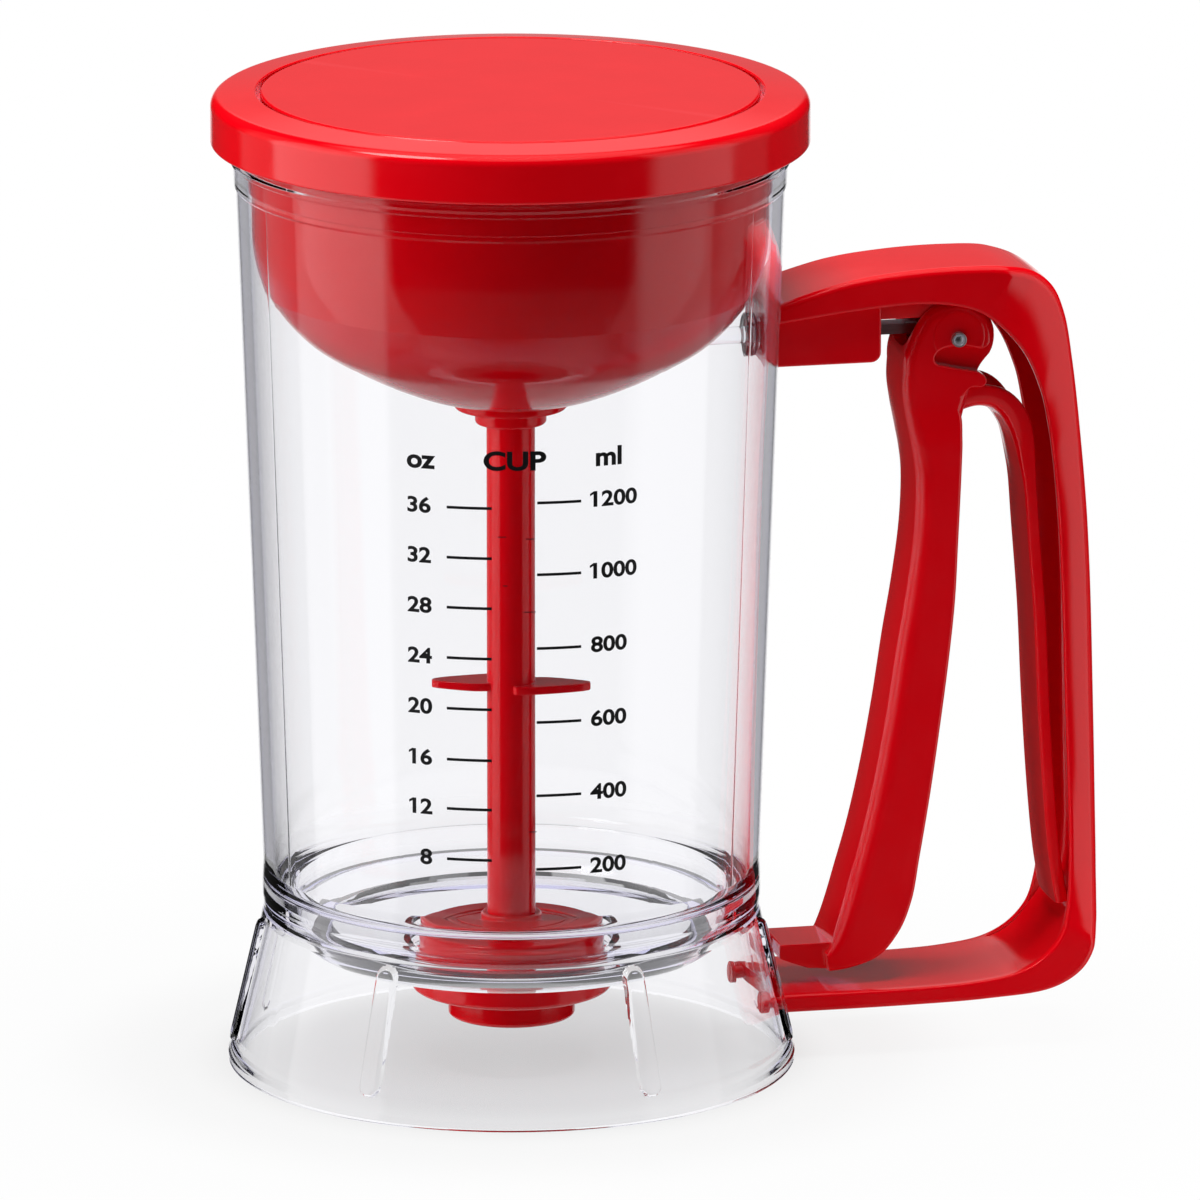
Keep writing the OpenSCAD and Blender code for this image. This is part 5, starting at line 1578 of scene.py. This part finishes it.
    def world(self) -> None:
        """Builds the surroundings: white backdrop, soft boxes for gloss, low fill for the rest."""
        made = bpy.data.worlds.new("studio")
        bpy.context.scene.world = made
        made.use_nodes = True
        tree = made.node_tree
        tree.nodes.clear()
        out = add_node(tree, "ShaderNodeOutputWorld")
        path = add_node(tree, "ShaderNodeLightPath").outputs
        way = add_node(tree, "ShaderNodeTexCoord").outputs["Generated"]
        turned = add_node(tree, "ShaderNodeVectorRotate",
                          {"rotation_type": "Z_AXIS", "Angle": math.radians(-self.azimuth)},
                          {"Vector": way}).outputs["Vector"]
        split = add_node(tree, "ShaderNodeSeparateXYZ", links={"Vector": turned}).outputs
        back = add_node(tree, "ShaderNodeMath", {"operation": "MULTIPLY", 1: -1.0},
                        {0: split["Y"]}).outputs[0]
        turn = add_node(tree, "ShaderNodeMath", {"operation": "ARCTAN2"},
                        {0: split["X"], 1: back}).outputs[0]
        share = add_node(tree, "ShaderNodeMath", {"operation": "MULTIPLY_ADD", 1: 1 / math.tau, 2: 0.5},
                         {0: turn}).outputs[0]
        rise = add_node(tree, "ShaderNodeMath", {"operation": "MULTIPLY_ADD", 1: 0.5, 2: 0.5},
                        {0: split["Z"]}).outputs[0]
        grey = {name: add_node(tree, "ShaderNodeValToRGB", {}, {"Fac": share},
                               self.around(getattr(self, name))).outputs["Color"]
                for name in ("boxes", "bands", "edge", "aside", "ring", "behind", "hue")}
        grey |= {name: add_node(tree, "ShaderNodeValToRGB", {}, {"Fac": rise},
                                getattr(self, name)).outputs["Color"]
                 for name in ("tall", "lift", "over", "under", "high", "level", "down", "low")}
        turn_away = add_node(tree, "ShaderNodeMath", {"operation": "PINGPONG", 1: 0.5},
                             {0: share}).outputs[0]
        rear, walled = (add_node(tree, "ShaderNodeMath", {"operation": "COMPARE", 1: 0.0, 2: half / 360},
                                 {0: turn_away}).outputs[0]
                        for half in (self.rear_half, self.walled_half))
        passed = path["Transmission Depth"]
        near = add_node(tree, "ShaderNodeMath",
                        {"operation": "COMPARE", 1: self.near_count[0], 2: self.near_count[1]},
                        {0: passed}).outputs[0]
        far, many = (add_node(tree, "ShaderNodeMath", {"operation": "GREATER_THAN", 1: count},
                              {0: passed}).outputs[0]
                     for count in (self.far_count, self.many_count))
        bounced, twice = (add_node(tree, "ShaderNodeMath", {"operation": "GREATER_THAN", 1: count},
                                   {0: path["Glossy Depth"]}).outputs[0] for count in (0.5, 1.5))

        # Soft boxes, the key light's head and the table, as gloss shows them.
        lift = add_node(tree, "ShaderNodeMix", BLEND,
                        {"Factor": rear, "A": grey["tall"], "B": grey["lift"]}).outputs["Result"]
        gloss = add_node(tree, "ShaderNodeMix", MULTIPLY, {"A": grey["boxes"], "B": lift}).outputs["Result"]
        near_spot = add_node(tree, "ShaderNodeVectorMath", {"operation": "DOT_PRODUCT", 1: self.spot},
                             {0: turned}).outputs["Value"]
        spot = add_node(tree, "ShaderNodeValToRGB", {}, {"Fac": near_spot}, self.spot_glow).outputs["Color"]
        above = add_node(tree, "ShaderNodeMix", LIGHTEN, {"A": grey["over"], "B": spot}).outputs["Result"]
        seen_gloss = add_node(tree, "ShaderNodeMix", LIGHTEN, {"A": gloss, "B": above}).outputs["Result"]
        seen_gloss = add_node(tree, "ShaderNodeMix", LIGHTEN,
                              {"A": seen_gloss, "B": grey["under"]}).outputs["Result"]

        # What clear plastic lets through. Many walls in a row, as over the jar's floor, scatter the
        # light and look paler.
        tinted = add_node(tree, "ShaderNodeMix", {**BLEND, "A": self.dim, "B": self.bright},
                          {"Factor": grey["bands"]}).outputs["Result"]
        seen_through = add_node(tree, "ShaderNodeMix", MULTIPLY,
                                {"A": tinted, "B": grey["high"]}).outputs["Result"]
        pale = add_node(tree, "ShaderNodeMath", {"operation": "MULTIPLY", 1: self.scattered_share},
                        {0: many}).outputs[0]
        seen_through = add_node(tree, "ShaderNodeMix", {**BLEND, "B": self.scattered},
                                {"Factor": pale, "A": seen_through}).outputs["Result"]

        # Light turned back inside clear plastic sees a pale studio, except at the level that a
        # standing wall mirrors.
        inner = add_node(tree, "ShaderNodeMix", LIGHTEN,
                         {"A": grey["level"], "B": grey["edge"]}).outputs["Result"]
        faint, weak = (add_node(tree, "ShaderNodeMix", {**BLEND, "A": BLACK, "Factor": part},
                                {"B": seen_gloss}).outputs["Result"]
                       for part in (self.faint_share, self.weak_share))
        plain = add_node(tree, "ShaderNodeMix", BLEND,
                         {"Factor": walled, "A": faint, "B": inner}).outputs["Result"]
        side = add_node(tree, "ShaderNodeMix", MULTIPLY,
                        {"A": grey["level"], "B": grey["aside"]}).outputs["Result"]
        flank = add_node(tree, "ShaderNodeMix", MULTIPLY, {"A": side, "B": grey["ring"]}).outputs["Result"]
        side = add_node(tree, "ShaderNodeMix", LIGHTEN, {"A": side, "B": grey["down"]}).outputs["Result"]
        fronted = add_node(tree, "ShaderNodeMix", LIGHTEN, {"A": plain, "B": side}).outputs["Result"]

        # Behind one clear wall, what lies straight behind the object stays bright.
        behind = add_node(tree, "ShaderNodeMix", MULTIPLY,
                          {"A": grey["behind"], "B": grey["low"]}).outputs["Result"]
        behind = add_node(tree, "ShaderNodeMix", LIGHTEN, {"A": behind, "B": flank}).outputs["Result"]
        deeper = add_node(tree, "ShaderNodeMix", LIGHTEN, {"A": weak, "B": behind}).outputs["Result"]
        for chosen, kind in ((far, deeper), (near, fronted)):
            seen_gloss = add_node(tree, "ShaderNodeMix", BLEND,
                                  {"Factor": chosen, "A": seen_gloss, "B": kind}).outputs["Result"]
        seen_gloss = add_node(tree, "ShaderNodeMix", {**BLEND, "B": self.scattered_gloss},
                              {"Factor": pale, "A": seen_gloss}).outputs["Result"]

        # Light that has turned back twice or more gives the faint violet and warm lines in thick
        # clear plastic.
        lines = add_node(tree, "ShaderNodeMix", {**BLEND, "A": self.violet, "B": self.warm},
                         {"Factor": grey["hue"]}).outputs["Result"]
        seen_gloss = add_node(tree, "ShaderNodeMix", BLEND,
                              {"Factor": twice, "A": seen_gloss, "B": lines}).outputs["Result"]

        # The camera sees plain white, other straight paths what was built above, and the rest a low fill.
        after = add_node(tree, "ShaderNodeMix", BLEND,
                         {"Factor": bounced, "A": seen_through, "B": seen_gloss}).outputs["Result"]
        shown = add_node(tree, "ShaderNodeMix", {**BLEND, "B": WHITE},
                         {"Factor": path["Is Camera Ray"], "A": after}).outputs["Result"]
        seen = path["Is Camera Ray"]
        for kind in ("Is Glossy Ray", "Is Transmission Ray"):
            seen = add_node(tree, "ShaderNodeMath", {"operation": "MAXIMUM"},
                            {0: seen, 1: path[kind]}).outputs[0]
        fresh = add_node(tree, "ShaderNodeMath", {"operation": "LESS_THAN", 1: 0.5},
                         {0: path["Diffuse Depth"]}).outputs[0]
        direct = add_node(tree, "ShaderNodeMath", {"operation": "MULTIPLY"}, {0: seen, 1: fresh}).outputs[0]
        light = add_node(tree, "ShaderNodeMix", {**BLEND, "A": self.fill},
                         {"Factor": direct, "B": shown}).outputs["Result"]
        sky = add_node(tree, "ShaderNodeBackground", {"Strength": 1.0}, {"Color": light})
        tree.links.new(sky.outputs["Background"], out.inputs["Surface"])

    def table(self) -> None:
        """Lays the white table, which keeps the object's shadow, has a painted contact shadow under the jar
        and fades into the backdrop.
        """
        count = 96
        rim = arc(0.0, 0.0, self.table_r / MM, 0, 360, count)[:-1]
        floor = make_object("table", [(x, y, self.table_z) for x, y in rim], [tuple(range(count))])
        made, tree, out = new_material("table_white")
        made.cycles.emission_sampling = "NONE"
        path = add_node(tree, "ShaderNodeLightPath").outputs
        place = add_node(tree, "ShaderNodeTexCoord").outputs["Object"]
        grain = add_node(tree, "ShaderNodeTexNoise", {"Scale": 900.0}, {"Vector": place}).outputs["Fac"]
        dark, light = (linear(code) for code in self.table_tones)
        tone = add_node(tree, "ShaderNodeMix", {**BLEND, "A": dark, "B": light},
                        {"Factor": grain}).outputs["Result"]
        plain = add_node(tree, "ShaderNodeBsdfDiffuse", {}, {"Color": tone})
        seen = add_node(tree, "ShaderNodeMath", {"operation": "MAXIMUM"},
                        {0: path["Is Camera Ray"], 1: path["Is Transmission Ray"]}).outputs[0]
        fresh = add_node(tree, "ShaderNodeMath", {"operation": "LESS_THAN", 1: 0.5},
                         {0: path["Diffuse Depth"]}).outputs[0]
        direct = add_node(tree, "ShaderNodeMath", {"operation": "MULTIPLY"}, {0: seen, 1: fresh}).outputs[0]
        white = add_node(tree, "ShaderNodeEmission", {"Color": WHITE, "Strength": 1.0})
        reach = add_node(tree, "ShaderNodeVectorMath", {"operation": "LENGTH"}, {0: place}).outputs["Value"]
        # Less white near the jar's axis: a painted contact shadow under the jar.
        white_share_and_shadow = add_node(tree, "ShaderNodeValToRGB", {}, {"Fac": reach}, self.table_lift,
                        "EASE").outputs["Color"]
        # Seen past more than two clear surfaces, as through the jar's floor, the table is painted near
        # white, which lifts the shadow under the jar there; through the skirt alone it keeps it.
        deep = add_node(tree, "ShaderNodeMath", {"operation": "GREATER_THAN", 1: self.far_count},
                        {0: path["Transmission Depth"]}).outputs[0]
        deep = add_node(tree, "ShaderNodeMath", {"operation": "MULTIPLY", 1: self.table_deep_share},
                        {0: deep}).outputs[0]
        white_share_and_shadow = add_node(tree, "ShaderNodeMath", {"operation": "MAXIMUM"}, {0: white_share_and_shadow, 1: deep}).outputs[0]
        share = add_node(tree, "ShaderNodeMath", {"operation": "MULTIPLY"}, {0: white_share_and_shadow, 1: direct}).outputs[0]
        both = add_node(tree, "ShaderNodeMixShader", {},
                        {0: share, 1: plain.outputs["BSDF"], 2: white.outputs["Emission"]})
        # The lit table throws light back up on what stands low over it.
        soft = add_node(tree, "ShaderNodeMath", {"operation": "SUBTRACT", 0: 1.0}, {1: fresh}).outputs[0]
        thrown = add_node(tree, "ShaderNodeValToRGB", {}, {"Fac": reach}, self.table_glow).outputs["Color"]
        glow = add_node(tree, "ShaderNodeMath", {"operation": "MULTIPLY"}, {0: soft, 1: thrown}).outputs[0]
        glowing = add_node(tree, "ShaderNodeEmission", {"Color": WHITE}, {"Strength": glow})
        both = add_node(tree, "ShaderNodeAddShader", {},
                        {0: both.outputs["Shader"], 1: glowing.outputs["Emission"]})
        # Reflections see the studio through the table, so that gloss keeps its soft boxes.
        mirrored = add_node(tree, "ShaderNodeMath", {"operation": "GREATER_THAN", 1: 0.5},
                            {0: path["Glossy Depth"]}).outputs[0]
        gone = add_node(tree, "ShaderNodeMath", {"operation": "MULTIPLY"},
                        {0: mirrored, 1: fresh}).outputs[0]
        clear = add_node(tree, "ShaderNodeBsdfTransparent")
        whole = add_node(tree, "ShaderNodeMixShader", {},
                         {0: gone, 1: both.outputs["Shader"], 2: clear.outputs["BSDF"]})
        tree.links.new(whole.outputs["Shader"], out.inputs["Surface"])
        floor.data.materials.append(made)

    def build(self) -> None:
        """Sets the whole studio up."""
        self.camera()
        self.world()
        self.table()
        for lamp in self.lamps:
            self.lamp(*lamp)
        bpy.context.scene.view_settings.view_transform = "Standard"


def main() -> None:
    """Builds every sub-assembly in order and reports its pieces."""
    logging.basicConfig(level=logging.INFO, format="%(name)s: %(message)s")
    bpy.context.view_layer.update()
    Studio().build()
    finishes = Finishes()
    for kind in (Jar, MeasureScale, Outlet, Funnel, ValveStem, Cap, Handle, Trigger):
        part = kind(finishes)
        part.build()
        LOG.info("%s: %s", kind.__name__, ", ".join(part.made))


if __name__ == "__main__":
    main()
